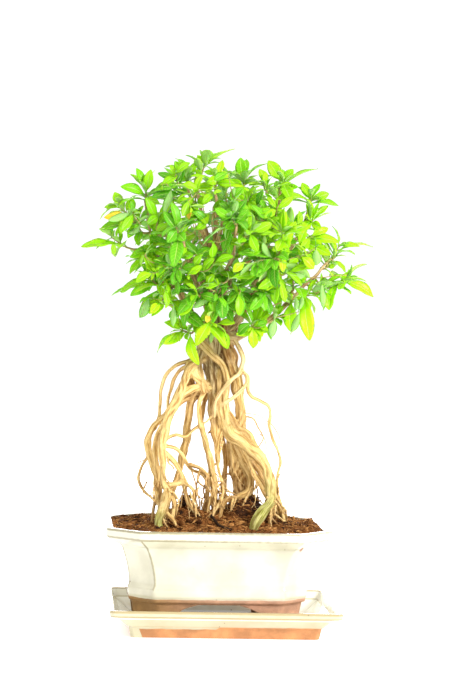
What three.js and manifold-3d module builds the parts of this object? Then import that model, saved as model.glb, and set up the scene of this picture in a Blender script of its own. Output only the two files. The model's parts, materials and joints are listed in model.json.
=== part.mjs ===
// A serissa bonsai grown over raised roots, planted in a glazed pot that stands on a drip tray.
// Millimetres, +Z up, +X to the right and +Y away from someone who looks at the front.
// The origin is on the tray's underside, below the middle of the pot.
import * as THREE from "three";
import { mergeVertices } from "three/addons/utils/BufferGeometryUtils.js";
import Module from "manifold-3d";

const wasm = await Module();
wasm.setup();

const V = (x, y, z) => new THREE.Vector3(x, y, z);
const UP = V(0, 0, 1);
const lerp = THREE.MathUtils.lerp;

// Left between two pieces that touch.
const GAP = 0.3;
// Corners nearer than this are one corner.
const WELD = 1e-4;

// Drip tray
const TRAY_LENGTH = 204;
const TRAY_WIDTH = 155;
const TRAY_CORNER = 3;
const TRAY_SHIFT = 6.9;
const TRAY_TURN = -0.013;
const TRAY_FLOOR_Z = 7.5;
// Height and distance in from the rim, up the outside and then down the inside.
const TRAY_OUTSIDE = [[0, 19], [9.6, 17], [10, 15.6], [14, 11.5], [19.2, 6], [19.7, 0.9], [24.6, 0],
  [25.5, 0.8]];
const TRAY_INSIDE = [[25.5, 3.6], [24, 4.6], [18, 7], [13, 14], [TRAY_FLOOR_Z, 21]];

// Pot
const POT_LENGTH = 200;
const POT_WIDTH = 160;
const RIM_CUT = 29;
const BODY_CUT = 21.6;
const POT_TOP = 95;
const RIM_ROUND = 0.6;
const BAND_Z = 87;
const BAND_INSET = 0.4;
const LIP_Z = 79;
const LIP_INSET = 14;
const WAIST_Z = 46;
const WAIST_INSET = 21.7;
const FLARE_POWER = 1.75;
const FLARE_STEPS = 4;
const POT_FOOT_Z = TRAY_FLOOR_Z + GAP;
const POT_UNDERSIDE_Z = 33.2;
const POT_FLOOR_Z = 39.5;
const BEAD_TO_FOOT = [[42, 20.4], [34.8, 20.7], [34.4, 21.2], [30.4, 21.6], [29.8, 24.3], [POT_FOOT_Z, 27.8]];
const FOOT_WALL = 8;
// Height, distance in from the rim of the outer face there, and wall thickness.
const POT_INSIDE = [[POT_TOP - RIM_ROUND, 0, 7], [88, BAND_INSET, 8], [LIP_Z, LIP_INSET, 6.5],
  [62, 19, 6.5], [POT_FLOOR_Z, 21.5, 7]];
// Half width and height of the arch between two feet, on the long sides and on the short ones.
const LONG_ARCH = [[39, POT_FOOT_Z - 1], [37, 17], [32, 24], [18, 28.8]];
const SHORT_ARCH = [[24, POT_FOOT_Z - 1], [22.5, 17], [19, 24], [10, 28.8]];
const DRAIN_RADIUS = 6.5;
const DRAIN_SIDES = 12;
const DRAIN_X = 38;

// Squares of mesh over the drain holes
const MESH_SIZE = 26;
const MESH_THICK = 1;
const MESH_HOLES = 2;
const MESH_HOLE = 9;
const MESH_PITCH = 12;

// Soil
const SOIL_FLOOR_Z = POT_FLOOR_Z + GAP + MESH_THICK + GAP;
const SOIL_LEVEL = 94.3;
const SOIL_GRID = 20;
const SOIL_HEADROOM = 60;
const SOIL_HUMPS = [
  { x: 5, y: 0, rise: 4, wide: 62, deep: 46 },
  { x: -29, y: -2, rise: 14, wide: 19, deep: 24 },
  { x: 26, y: 0, rise: 18, wide: 24, deep: 28 },
];
// Ripples: height, and how fast each runs along and across the pot.
const SOIL_RIPPLES = [
  { rise: 0.7, alongX: 0.137, alongY: 0.164 },
  { rise: 0.5, alongX: 0.256, alongY: -0.19 },
];
const SOIL_DETAIL = 0.6;
const ROOT_HOLE_GAP = 0.5;

// A limb gets a ring where it bends by more than this angle, changes its thickness or has run this far.
const RING_BEND = 0.45;
const RING_CHANGE = 2.4;
const RING_STEP = 25;
const WOOD_DETAIL = 0.49;
// Limbs that are thicker than these somewhere are six-sided and five-sided.
const SIX_SIDED = 14;
const FIVE_SIDED = 7.4;
const CURVE_TENSION = 0.5;
// A limb nearer to level than this takes its first normal from +Y.
const LEVEL_TANGENT = 0.8;

// The eye that the front view was measured from, on the plane through the origin.
const EYE = V(-164, -2044, 320);

// Wood. Each point: across, up, depth behind the plane of the origin, thickness.
const ROOTS = {
  trunk: [[-9, 276, 0, 16], [-10, 262, 0, 19], [-8, 248, 0, 18], [-7, 235, 1, 15], [-5, 220, 2, 12],
    [-4, 205, 2, 10], [-5, 190, 1, 8], [-3, 176, -2, 6], [-1, 163, -5, 4.4], [1, 152, -7, 3.4]],
  trunk_left: [[-18, 258, -4, 7], [-18.5, 245, -7, 5], [-18, 236, -8, 4.5], [-14, 213, -7, 5]],
  trunk_diagonal: [[-17, 257, -7, 7], [-8, 247, -11, 6.5], [0, 240, -11, 6], [4, 233, -10, 5.5],
    [7, 221, -8, 5], [6, 204, -8, 5], [8, 186, -6, 6]],
  trunk_right: [[3, 270, 0, 13], [6, 255, -1, 13], [9.5, 245, -1, 12], [12.5, 234, -1, 11],
    [16, 222, -2, 10], [19, 205, -3, 9.5], [20.5, 188, -3, 9], [22, 171, -5, 8]],
  trunk_back: [[-3, 266, 3, 11], [1, 244, 10, 9], [2, 222, 15, 8], [6, 200, 20, 7], [12, 175, 24, 7],
    [20, 150, 28, 6.5], [27, 124, 31, 6], [32, 104, 33, 5], [33, 94, 34, 4]],
  centre_strand: [[0, 232, -4, 5], [1, 208, -5, 6], [2, 194, -5, 6.5], [5, 184, -4, 7]],
  left_arch: [[-11, 245, -3, 8.5], [-20, 239.5, -6, 8.4], [-26.5, 234, -8, 8.2], [-32, 221, -11, 7.4],
    [-38, 207, -13, 7.6], [-43.5, 193, -15, 8.2], [-48, 178, -17, 7.4], [-50, 163, -19, 6.4],
    [-48.5, 147, -21, 6], [-47, 130, -23, 5.8], [-41, 120, -25, 4.6], [-38, 111, -26, 4.2],
    [-39.5, 101, -27, 4], [-40, 92, -27, 3.4]],
  left_knob: [[-27, 238, -5, 6], [-22, 230, -7, 8], [-18, 224, -6, 7.6], [-12, 216, -2, 6]],
  left_hollow: [[-28.5, 236, 1, 5.5], [-27.5, 226, 2, 8], [-25, 216, 2, 7.5], [-23, 208, 2, 6]],
  left_outer_arch: [[-11, 246, 0, 4.4], [-24, 241.5, 1, 4], [-34, 238.5, 3, 3.6], [-42, 234, 5, 3.2],
    [-48.5, 225, 6, 3], [-52.5, 213, 6, 2.9], [-53.5, 200, 4, 2.9], [-53.5, 189, -1, 3.2],
    [-57, 180, -4, 3.6]],
  left_second_arch: [[-25, 237, -6, 4], [-35, 233, -3, 3.2], [-41.5, 225, -3, 2.9],
    [-44.5, 211, -5, 2.8], [-45.5, 197, -10, 3]],
  left_arm: [[-8, 217, 0, 7], [-15.5, 216.5, -4, 6.6], [-22, 216, -7, 6.4], [-29, 212.5, -10, 6.4],
    [-36, 207, -12, 6.4], [-41, 199, -13, 6]],
  left_low_arm: [[-20, 209, 1, 5], [-25, 207.5, 1, 4.8], [-32, 204.5, -4, 4.6], [-41, 197, -11, 4.6]],
  left_rear: [[-17, 218, -2, 6], [-23.5, 209, 2, 6.6], [-25.5, 199, 3, 6.4], [-27, 187, 6, 7],
    [-28, 176, 7, 8.2], [-29.5, 165, 8, 7.6], [-31, 155, 8, 6.6], [-32.5, 143, 6, 5.8],
    [-37, 131, 2, 5.6], [-41, 121, -3, 5], [-44, 108, -5, 4], [-45, 92, -5, 3.4]],
  left_outer: [[-46, 194, -13, 5], [-52, 187.5, -8, 4.8], [-58, 180, -4, 5.6], [-62, 171, -1, 6.2],
    [-61.5, 160, 0, 6.4], [-59, 148, -2, 6], [-55.5, 136, -7, 5], [-53.5, 123, -15, 4.2],
    [-52.5, 113, -24, 4], [-46, 105, -33, 3.8], [-39, 98, -40, 3.6], [-36, 92, -43, 3]],
  left_second: [[-49, 184, -15, 4.6], [-54, 175, -12, 4.8], [-56, 163, -11, 5], [-54.5, 148, -10, 4.8],
    [-52.5, 136, -9, 4.2], [-51, 118, -3, 3.4], [-51, 100, 0, 3.2], [-51, 90, 1, 2.8]],
  left_far_loop: [[-61, 154, -1, 3], [-66.5, 149, 4, 2.6], [-70, 141, 7, 2.5], [-70.8, 133, 7, 2.5],
    [-67, 125, 3, 2.5], [-61, 119.5, -9, 2.5], [-52, 112, -23, 3]],
  left_fork: [[-31, 133, -17, 3.6], [-24, 127, -17, 3.2], [-20, 121, -16, 3], [-21.5, 114, -14, 2.8],
    [-26, 104, -11, 2.6], [-29, 91, -10, 2.4]],
  left_cross: [[-48, 164, -18, 3.6], [-38, 161.5, -14, 3.2], [-31, 155, -10, 3.2], [-27, 147, -7, 3.4],
    [-21.5, 141.5, -5, 3.2], [-13, 139, -4, 3.2], [-8.5, 131, -5, 3], [-7.5, 116, -6, 2.9],
    [-9, 102, -7, 2.6], [-9, 92, -7, 2.4]],
  left_inner: [[-47, 157, -18, 5], [-41, 151, -18, 4.8], [-34.5, 143.5, -17, 4.8], [-30, 134, -16, 4.6],
    [-28, 123, -15, 4.2], [-24, 112, -15, 3.8], [-18.5, 103, -16, 3.2], [-16.5, 90, -16, 2.8]],
  left_brown: [[-24, 147, -14, 4], [-16, 144, -9, 3.8], [-10, 140, -7, 3.8], [-6, 134, -6, 3.4],
    [-8, 122, -6, 3], [-12, 108, -5, 2.8], [-13, 92, -5, 2.6]],
  left_bridge: [[-47, 128, -22, 5], [-38, 129.5, -19, 4.6], [-30, 131, -17, 4.2]],
  left_green: [[-44, 124, -24, 6.5], [-45, 116, -32, 8.4], [-48, 107, -39, 8.6], [-51, 98, -44, 7.6],
    [-52, 88, -48, 6.4]],
  left_stub: [[-53, 117, -21, 3.4], [-57, 109, -23, 3], [-58, 99, -23, 2.7], [-58, 91, -23, 2.6]],
  bridge: [[-46, 170, -16, 3], [-38, 174, -8, 2.8], [-30, 172.5, -3, 2.7], [-23, 178, -3, 2.7],
    [-14.5, 184, -2, 2.8]],
  hanging: [[-11, 221, 0, 5], [-14, 213, -2, 4], [-17, 204, -3, 4], [-17.5, 195, -3, 4.2],
    [-16.5, 186, -3, 4.4], [-14, 178, -3, 4.6], [-11.2, 170, -3, 4.8], [-8.7, 160.5, -4, 5],
    [-5.6, 151, -4, 5], [-3, 140, -5, 4.6], [-0.8, 131, -6, 4], [-0.5, 119, -6, 3.4], [-1.5, 104, -7, 3],
    [-2, 94, -7, 2.6]],
  hanging_twin: [[-15, 184, -4, 3], [-13, 176, -6, 3.2], [-9.5, 167, -7, 3.2], [-7, 155, -6, 3.2],
    [-4.5, 143, -8, 3.2], [-2, 131, -10, 3], [-5, 116, -12, 2.8], [-7, 102, -13, 2.6],
    [-7, 92, -13, 2.4]],
  pale: [[10, 264, -4, 4.4], [17, 252, -8, 4], [20.5, 242, -9, 3.6], [19, 231, -9, 3.2],
    [11, 224, -11, 3], [3, 217, -11, 3], [-2.5, 206, -8, 3.1], [-4, 192, -3, 3.2]],
  pale_loop: [[20, 233, -8, 3.2], [24.5, 228, -9, 3], [24, 220, -10, 3], [16, 211, -11, 3],
    [8, 205, -11, 3], [2, 201, -6, 3.6]],
  right_long: [[14, 232, -3, 3.4], [22, 231, -1, 2.9], [26, 226.5, 0, 2.8], [26, 215, 0, 2.8],
    [30.5, 209, 0, 2.7], [39, 205.5, 0, 2.7], [44.5, 202, 0, 2.7], [47, 193, -1, 2.6],
    [46.5, 183, -1, 2.6], [49, 172, -2, 2.6], [54, 161, -4, 2.6], [56.5, 150, -6, 2.6],
    [55, 138, -8, 2.6], [54.5, 126, -10, 2.6], [57, 117, -12, 2.6], [61, 105, -13, 2.5],
    [62.5, 91, -13, 2.3]],
  right_big: [[-2, 208, 1, 9], [3.5, 197, 0, 12], [8, 185, -2, 14], [13.5, 175.5, -4, 14],
    [22, 169, -6, 12.5], [31.5, 161.5, -9, 11.4], [38.5, 154, -13, 10.6], [43.8, 144, -16, 10],
    [47.5, 134, -20, 9.6], [49.6, 123, -24, 8.4], [49, 114.5, -29, 8.4], [44.5, 109, -35, 9.4],
    [39, 102, -42, 9.8], [35, 94, -48, 8.8], [33.5, 86, -51, 6.5]],
  right_middle: [[8, 186, 2, 8], [11, 174, 3, 9], [15.5, 163, 3, 8.6], [21, 153, 1, 8],
    [26.5, 145, -1, 7.4], [30.5, 137, -3, 6.6], [31, 129, -6, 6.2], [27, 122.5, -8, 6],
    [19.5, 119, -10, 5.4], [11, 117, -12, 4.4], [6, 109, -13, 3.6], [3.5, 99, -14, 3.2],
    [3.5, 90, -14, 3]],
  right_brown: [[12, 178, 5, 10], [15, 165, 6, 14], [18, 152, 6, 17], [20.5, 139, 6, 17],
    [23, 125, 5, 15], [22.5, 108, 4, 11], [21, 92, 4, 7]],
  right_front: [[23, 162, -6, 6], [30, 149, -10, 5.6], [34, 140, -12, 5.5], [39, 131, -15, 5.4],
    [44, 124, -19, 5.2], [47.5, 116, -23, 5.2]],
  right_cross: [[5, 199, -5, 5], [12.5, 189, -8, 5.4], [18, 182, -8, 5.4], [25, 178, -7, 5.6],
    [31, 171, -8, 5.6], [36, 160, -10, 5.6]],
  right_thin: [[28.5, 124, -8, 3.6], [26, 115, -12, 3.2], [22.5, 108, -16, 3], [18.5, 101, -19, 2.6],
    [17, 90, -21, 2.4]],
  middle_thin: [[3, 180, -3, 3.4], [1, 167, -6, 3], [0, 154, -7, 2.8], [1.5, 141, -8, 2.8],
    [6, 126, -10, 2.8], [4, 115, -11, 2.7], [-2, 103, -13, 2.6], [-4, 92, -14, 2.4]],
  right_bunch: [[50.5, 120, -24, 4.8], [54, 110, -15, 3.6], [56.5, 101, -13, 2.9], [57, 90, -12, 2.6]],
  right_bunch_outer: [[51, 123, -23, 4.4], [57, 114, -16, 3.4], [60, 104, -17, 2.9], [65, 90, -16, 2.6]],
  right_fan: [[50.5, 113, -28, 4], [51.5, 106, -30, 3.2], [48.5, 97, -33, 2.9], [47.5, 88, -34, 2.8]],
  back_left: [[-8, 240, 6, 8], [-8, 224, 15, 6], [-13, 206, 21, 5], [-15, 190, 24, 4.5],
    [-12, 172, 27, 4.4], [-7, 152, 30, 4.4], [-4, 132, 32, 4.2], [-2, 112, 34, 4], [-2, 92, 36, 3.6]],
  back_middle: [[7, 216, 18, 6], [2, 196, 27, 5.6], [3, 174, 33, 5.2], [8, 152, 38, 5],
    [6, 130, 42, 4.6], [8, 108, 46, 4.2], [8, 92, 48, 3.6]],
  back_right: [[14, 178, 24, 6], [24, 164, 30, 5.6], [36, 146, 31, 5.2], [46, 124, 28, 4.8],
    [50, 106, 26, 4.4], [51, 92, 25, 4]],
};

const BRANCHES = {
  left: [[-9, 262, 0, 13], [-16, 268, -2, 10], [-24, 276, -5, 8], [-30, 287, -8, 6.6],
    [-38, 300, -10, 5.2], [-48, 314, -10, 4.4], [-57, 329, -8, 3.8], [-63, 345, -6, 3.4],
    [-67, 362, -4, 3], [-70, 379, -2, 2.6]],
  left_low: [[-30, 287, -8, 4.6], [-38, 289, -14, 3.4], [-45, 296, -15, 3], [-51, 304, -18, 2.6]],
  crown: [[-8, 268, 2, 16], [-8, 288, 3, 12], [-9, 308, 3, 8.6], [-10, 326, 1, 6.4], [-14, 344, -2, 4.4],
    [-20, 363, -5, 3.6], [-27, 380, -5, 3], [-33, 395, -3, 2.6]],
  crown_left: [[-9.5, 318, 1, 4.8], [-13, 348, 6, 3.6], [-19, 368, 8, 3.2], [-23, 386, 6, 2.9],
    [-25, 402, 2, 2.6]],
  crown_middle: [[-10, 322, 1, 5], [-8, 346, -3, 3.8], [-6, 366, -6, 3.2], [-6, 382, -7, 2.9],
    [-8, 394, -7, 2.6]],
  crown_right: [[-9, 312, 2, 5], [-2, 340, 2, 4], [6, 360, 4, 3.4], [12, 378, 5, 3], [17, 393, 5, 2.6]],
  right: [[-2, 264, 0, 13], [9, 270, -2, 10.5], [18, 283, -4, 8.4], [25, 297, -5, 7], [31, 312, -5, 5.8],
    [36, 329, -4, 4.8], [41, 347, -3, 4], [45, 365, -2, 3.4], [49, 382, -1, 3], [51, 396, 0, 2.6]],
  right_low: [[6, 264, -3, 9], [15, 263.5, -5, 7.4], [26, 268, -6, 6], [38, 275, -7, 5],
    [50, 284, -8, 4.2], [61, 296, -8, 3.6], [73, 310, -8, 3.2], [85, 321, -7, 2.9], [94, 331, -5, 2.6]],
  right_middle: [[30, 310, -5, 4.8], [44, 324, -2, 3.8], [57, 337, 1, 3.4], [67, 352, 2, 3],
    [74, 369, 2, 2.8], [77, 382, 1, 2.6]],
  back_left: [[-9, 294, 4, 7], [-21, 318, 19, 5], [-33, 338, 32, 4], [-43, 356, 41, 3.4],
    [-50, 370, 46, 2.8]],
  back_right: [[-5, 292, 5, 7], [12, 317, 20, 5], [28, 338, 34, 4.2], [41, 358, 43, 3.4],
    [49, 374, 48, 2.8]],
  back: [[-9, 306, 4, 5.6], [-5, 340, 26, 4.2], [-1, 362, 42, 3.4], [2, 380, 50, 2.8]],
  front_left: [[-11, 284, -1, 6], [-20, 304, -20, 4.2], [-28, 322, -36, 3.4], [-34, 340, -46, 2.8],
    [-37, 352, -50, 2.6]],
  front: [[-8, 294, 0, 6], [2, 315, -22, 4.2], [8, 333, -40, 3.4], [11, 350, -50, 2.8],
    [12, 362, -54, 2.6]],
  front_right: [[21, 288, -4, 5.4], [31, 306, -22, 4], [43, 322, -36, 3.2], [52, 338, -45, 2.8],
    [56, 350, -48, 2.6]],
};

// Leafy sprays
const BARK_SEARCH = 1;
const TWIG_SIDES = 4;
const TWIG_THICK = 2.1;
const TWIG_TIP_THICK = 1.5;
const TWIG_BEND = 0.38;
// Where a twig turns towards its tip: a share of its length and a little more.
const ELBOW_SHARE = 0.18;
const ELBOW_MORE = 1;
const TWIG_UPTURN = 0.35;
const TWIG_BUD = 1.2;
const PAIR_SPACING = 5.6;
const LEAFY_SHARE = 0.74;
const LEAF_LENGTH = 31;
const LEAF_TIP_LENGTH = 20;
const LEAF_WIDTH_SHARE = 0.38;
const LEAF_THICK = 0.9;
const LEAF_ARCH = 0.09;
const LEAF_FOLD = 0.3;
const STALK_SHARE = 0.08;
const STALK_WIDTH = 0.13;
const TIP_NARROWING = 8;
const OUTLINE_SKEW = 1.08;
const OUTLINE_FULLNESS = 0.75;
const LEAF_STATIONS = [0.3, 0.68];
const OUTER_LEAF_STATIONS = [0.12, 0.38, 0.74];
const INNER_DEPTH = -28;
// Where a blade is tested against its neighbours, along it and across it, and how far from each it is kept.
const SPOTS_ALONG = [0.15, 0.3, 0.45, 0.6, 0.75, 0.9];
const SPOTS_ACROSS = [-0.95, -0.5, 0, 0.5, 0.95];
const OTHER_SPRAY_MARGIN = 1.3;
const SAME_SPRAY_MARGIN = 0.5;
const WOOD_MARGIN = 0.8;
const LONGEST_STRETCH = 30;
const WIDEST_LEAF = 12;
// Tried one after another when a leaf of the front view meets something: moves along the line of sight.
const DEPTH_SHIFTS = [0, -5, 5, -10, 10, -16, 16];
const RULED_ATTEMPTS = 5;
// A ruled leaf stands up from its twig by these angles at the lowest pair and at the top one.
const LEAF_RISE = [0.15, 1];
const LEAF_DROOP = 0.22;
const LONE_PAIR_HEIGHT = 0.4;
// How far chance changes a ruled leaf: its rise, its swing to the side and its tilt.
const RISE_CHANCE = 0.5;
const SWING_CHANCE = 0.7;
const TILT_CHANCE = 0.8;
const LEAN_ALONG_TWIG = 0.6;
// The least share of a length, a width and an arch, and how much chance adds.
const LENGTH_SHARES = [0.82, 0.32];
const WIDTH_SHARES = [0.9, 0.25];
const SHOWN_ARCH_SHARES = [0.5, 1];
const RULED_ARCH_SHARES = [0.6, 1];
const LEAF_SEED = 41;
const SEED_STEP = 977;

// Each spray: the branch that it grows from and how far along, the tip of its twig (across, up, depth), its
// pairs of leaves, its tone, and the leaves of the front view one by one (tip across, up, depth, width seen).
const SPRAYS = [
  ["left", 0.75, [-99, 349, -4], 3, "bright", [[-127, 340.5, -8, 7], [-94, 358, -4, 4],
    [-97, 334, -2, 5]]],
  ["left", 0.93, [-95, 378, 6], 4, "bright", [[-98, 390, 4, 9], [-83, 386, 2, 8], [-107, 376, 8, 4]]],
  ["left", 0.84, [-83, 369, -16], 5, "mid", [[-107, 367, -22, 9], [-111, 356, -14, 6],
    [-92, 353, -26, 8], [-85, 349, -30, 8], [-76, 343, -28, 7]]],
  ["left", 1, [-70, 394, -4], 5, "mid", [[-79, 412, -4, 7], [-66, 411, -10, 9], [-93, 395, -12, 9],
    [-58, 381, -18, 8]]],
  ["crown", 0.86, [-43, 403, -14], 5, "dark", [[-63, 392, -22, 8], [-65, 386, -26, 7],
    [-60, 408, -10, 6], [-33, 391, -26, 10]]],
  ["crown", 1, [-33, 409, 2], 5, "mid", [[-45, 419, 0, 9], [-46, 409, -6, 7], [-44, 422, 12, 5],
    [-25, 419, -2, 6]]],
  ["crown_left", 1, [-17, 420, 2], 4, "bright", [[9, 432, 10, 3], [-7, 409, -4, 5], [-26, 412, -4, 6],
    [-25, 425, 2, 5]]],
  ["crown_middle", 1, [-7, 405, -12], 5, "bright", [[-25, 396, -20, 8], [4, 409, -6, 8],
    [10, 400, -20, 8], [-16, 400, -28, 9]]],
  ["crown_right", 1, [18, 407, 3], 5, "mid", [[14, 424, 2, 11], [4, 404, -6, 7], [39, 420, 10, 3],
    [24, 390, -10, 8]]],
  ["right", 0.9, [34, 403, -10], 4, "bright", [[22, 399, -16, 4], [43, 389, -22, 14], [37, 411, -6, 5]]],
  ["right", 1, [53, 406, 2], 5, "mid", [[39, 422, 0, 12], [62, 415, 0, 8], [84, 417, 4, 4],
    [67, 399, -8, 6], [61, 386, -14, 11]]],
  ["right_middle", 1, [79, 390, 0], 4, "mid", [[70, 403, 4, 8], [95, 394, 2, 8], [104, 384, -4, 4],
    [110, 381, -10, 9], [47, 387, -16, 6]]],
  ["right_middle", 0.82, [81, 370, -12], 4, "bright", [[89, 363, -18, 8], [68, 360, -22, 9]]],
  ["right_middle", 0.62, [80, 355, -16], 4, "bright", [[95, 363, -14, 7], [105, 350, -20, 9],
    [98, 339, -26, 11], [106, 352, -8, 4], [70, 342, -26, 8]]],
  ["right_low", 1, [106, 349, 0], 4, "bright", [[124, 347, -2, 5], [136, 348, 4, 4], [101, 343, -6, 4]]],
  ["right_low", 0.85, [116, 319, 0], 2, "bright", [[138, 302, -4, 10]]],
  ["right_low", 0.78, [103, 311, -12], 4, "mid", [[98, 289, -18, 11], [92, 288, -10, 4],
    [82, 302, -8, 7], [115, 315, -10, 5], [110, 322, -8, 5]]],
  ["right_low", 0.95, [99, 336, 6], 3, "bright", [[112, 323, 8, 4], [101, 327, 4, 4], [90, 343, 2, 8]]],
  ["right_middle", 0.45, [70, 338, -14], 4, "bright", [[83, 326, -20, 9], [84, 329, -12, 9],
    [60, 331, -26, 8]]],
  ["right_low", 0.68, [64, 318, -18], 3, "mid", [[77, 322, -20, 9], [73, 314, -24, 7]]],
  ["right_low", 0.72, [82, 302, -16], 2, "bright", [[81, 261, -22, 15]]],
  ["right_low", 0.6, [65, 298, -14], 4, "bright", [[63, 269, -20, 12], [64, 266, -8, 4],
    [58, 274, -14, 4], [76, 296, -12, 4]]],
  ["right_low", 0.48, [50, 283.5, -15], 2, "mid", [[46, 261, -16, 7], [56, 292, -18, 5]]],
  ["right_low", 0.28, [30, 277, -28], 4, "bright", [[14, 265, -34, 9], [29, 253, -36, 6],
    [36, 259, -30, 6], [43, 268, -32, 9]]],
  ["front", 0.3, [17, 305, -44], 6, "dark", [[18, 282, -48, 8], [33, 320, -50, 8], [6, 292, -50, 7]]],
  ["front_right", 0.72, [50, 314, -46], 6, "mid", [[33, 307, -54, 9], [48, 293, -50, 9],
    [58, 295, -44, 6]]],
  ["front_right", 0.35, [38, 303, -38], 6, "dark", [[24, 290, -44, 9], [45, 284, -40, 7]]],
  ["front_right", 0.88, [34, 332, -58], 6, "dark", [[26, 318, -64, 10], [48, 324, -62, 9],
    [14, 338, -60, 8]]],
  ["left", 0.5, [-64, 313, -18], 5, "mid", [[-82, 298, -22, 9], [-73, 278, -22, 9], [-91, 301, -12, 6],
    [-99, 297, -8, 5], [-66, 283, -26, 7]]],
  ["left_low", 1, [-54, 318, -28], 4, "bright", [[-54, 299, -34, 9], [-50, 287, -30, 6],
    [-70, 338, -36, 10]]],
  ["left_low", 0.72, [-51.5, 294.5, -23], 2, "bright", [[-65, 282, -20, 7]]],
  ["left_low", 0.4, [-42, 288, -26], 2, "dark", [[-42, 270, -26, 5], [-33, 294, -26, 5]]],
  ["left", 0.18, [-35, 268, -16], 3, "bright", [[-51, 255, -20, 9], [-57, 247, -12, 4],
    [-38, 279, -14, 5]]],
  ["front_left", 0.35, [-19, 300, -44], 6, "dark", [[-39, 282, -50, 9], [-28, 288, -54, 8],
    [-4, 296, -54, 8]]],
  ["front", 0.12, [-5, 303, -40], 6, "dark", [[-2, 281, -46, 8], [5, 282, -52, 11], [-14, 290, -46, 6]]],
  ["left", 0.3, [-10, 277, -32], 4, "bright", [[-22, 254, -38, 10], [6, 253, -38, 9],
    [-16, 262, -44, 9]]],
  ["left", 0.66, [-64, 342, -26], 4, "mid", [[-83, 332, -32, 9], [-83, 317, -26, 6], [-48, 334, -38, 8]]],
  ["front_left", 0.62, [-46, 323, -52], 6, "dark", [[-23, 326, -58, 8], [-62, 330, -56, 8],
    [-44, 308, -60, 8]]],
  ["front_left", 1, [-42, 360, -58], 6, "dark", [[-34, 348, -64, 10], [-50, 346, -62, 10],
    [-54, 374, -56, 8]]],
  ["left", 0.78, [-58, 372, -26], 5, "mid", [[-70, 386, -30, 8], [-46, 384, -32, 7], [-68, 362, -36, 9]]],
  ["front", 1, [8, 371, -58], 6, "dark", [[-8, 378, -60, 8], [2, 360, -68, 9], [22, 376, -60, 8]]],
  ["front", 0.85, [27, 358, -62], 6, "mid", [[14, 348, -70, 9], [44, 366, -62, 9], [32, 340, -68, 9]]],
  ["front_right", 1, [54, 357, -56], 6, "bright", [[49, 341, -62, 10], [66, 368, -54, 8],
    [60, 344, -62, 8]]],
  ["crown_right", 0.78, [22, 386, -32], 5, "mid", [[8, 396, -34, 8], [36, 394, -34, 8],
    [30, 376, -42, 8]]],
  ["crown", 0.74, [-26, 390, -36], 5, "bright", [[-20, 408, -34, 6], [-38, 378, -42, 7],
    [-10, 388, -44, 8]]],
  ["right", 0.78, [48, 380, -34], 5, "mid", [[60, 368, -40, 9], [36, 370, -42, 8], [62, 390, -34, 7]]],
  ["back_left", 0.8, [-64, 354, 52], 5, "mid", []],
  ["back_left", 1, [-44, 388, 50], 5, "bright", []],
  ["back_left", 0.5, [-72, 330, 30], 5, "dark", []],
  ["back", 1, [2, 398, 58], 5, "mid", []],
  ["back", 0.6, [-14, 350, 66], 5, "dark", []],
  ["back_right", 1, [48, 392, 50], 5, "bright", []],
  ["back_right", 0.8, [70, 362, 52], 5, "mid", []],
  ["back_right", 0.5, [34, 326, 58], 5, "dark", []],
];

const TONES = {
  bright: 0x9ad824,
  mid: 0x56b01c,
  dark: 0x2f7a17,
};

// A front view's point, carried along the line of sight to its depth.
function seen([across, up, depth]) {
  const reach = 1 - depth / EYE.y;
  return V(across, 0, up).sub(EYE).multiplyScalar(reach).add(EYE);
}

// Closed meshes and booleans

function geometryOf(points, faces) {
  const geometry = new THREE.BufferGeometry();
  geometry.setAttribute("position", new THREE.Float32BufferAttribute(points.flatMap((p) => p.toArray()), 3));
  geometry.setIndex(faces.flat());
  return geometry;
}

function solidOf(geometry) {
  const bare = geometry.clone();
  bare.deleteAttribute("normal");
  bare.deleteAttribute("uv");
  const merged = mergeVertices(bare, WELD);
  return new wasm.Manifold(new wasm.Mesh({
    numProp: 3,
    vertProperties: new Float32Array(merged.attributes.position.array),
    triVerts: new Uint32Array(merged.index.array),
  }));
}

function geometryOfSolid(solid) {
  const mesh = solid.getMesh();
  const geometry = new THREE.BufferGeometry();
  geometry.setAttribute("position", new THREE.BufferAttribute(new Float32Array(mesh.vertProperties), 3));
  geometry.setIndex(new THREE.BufferAttribute(new Uint32Array(mesh.triVerts), 1));
  return geometry;
}

// Joins rings of equal length one after another. Each ring turns to the left about the way that the rings go.
function bandFaces(from, to) {
  return from.flatMap((corner, i) => {
    const next = (i + 1) % from.length;
    return [[corner, from[next], to[next]], [corner, to[next], to[i]]];
  });
}

function fanFaces(ring, apex) {
  return ring.map((corner, i) => [corner, ring[(i + 1) % ring.length], apex]);
}

function loft(rings, capStart, capEnd) {
  const points = [...rings.flat(), capStart, capEnd];
  const sides = rings[0].length;
  const indexOf = rings.map((ring, r) => ring.map((point, i) => r * sides + i));
  const start = points.length - 2;
  const end = points.length - 1;
  const faces = fanFaces([...indexOf[0]].reverse(), start);
  for (let r = 1; r < rings.length; r++) faces.push(...bandFaces(indexOf[r - 1], indexOf[r]));
  faces.push(...fanFaces(indexOf.at(-1), end));
  return geometryOf(points, faces);
}

// Pot, tray, mesh and soil

function cutRectangle(halfLength, halfWidth, cut, z) {
  const a = halfLength;
  const b = halfWidth;
  return [
    V(a, -b + cut, z), V(a, b - cut, z), V(a - cut, b, z), V(-a + cut, b, z),
    V(-a, b - cut, z), V(-a, -b + cut, z), V(-a + cut, -b, z), V(a - cut, -b, z),
  ];
}

// A wall's own thickness takes less off the cut than off the sides, so that it stays even round the corner.
const CUT_LOSS = 2 - Math.SQRT2;

function potRing(z, inset, wall = 0) {
  const away = inset + wall;
  const cut = lerp(RIM_CUT, BODY_CUT, Math.min(1, inset / LIP_INSET)) - CUT_LOSS * wall;
  return cutRectangle(POT_LENGTH / 2 - away, POT_WIDTH / 2 - away, cut, z);
}

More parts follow.
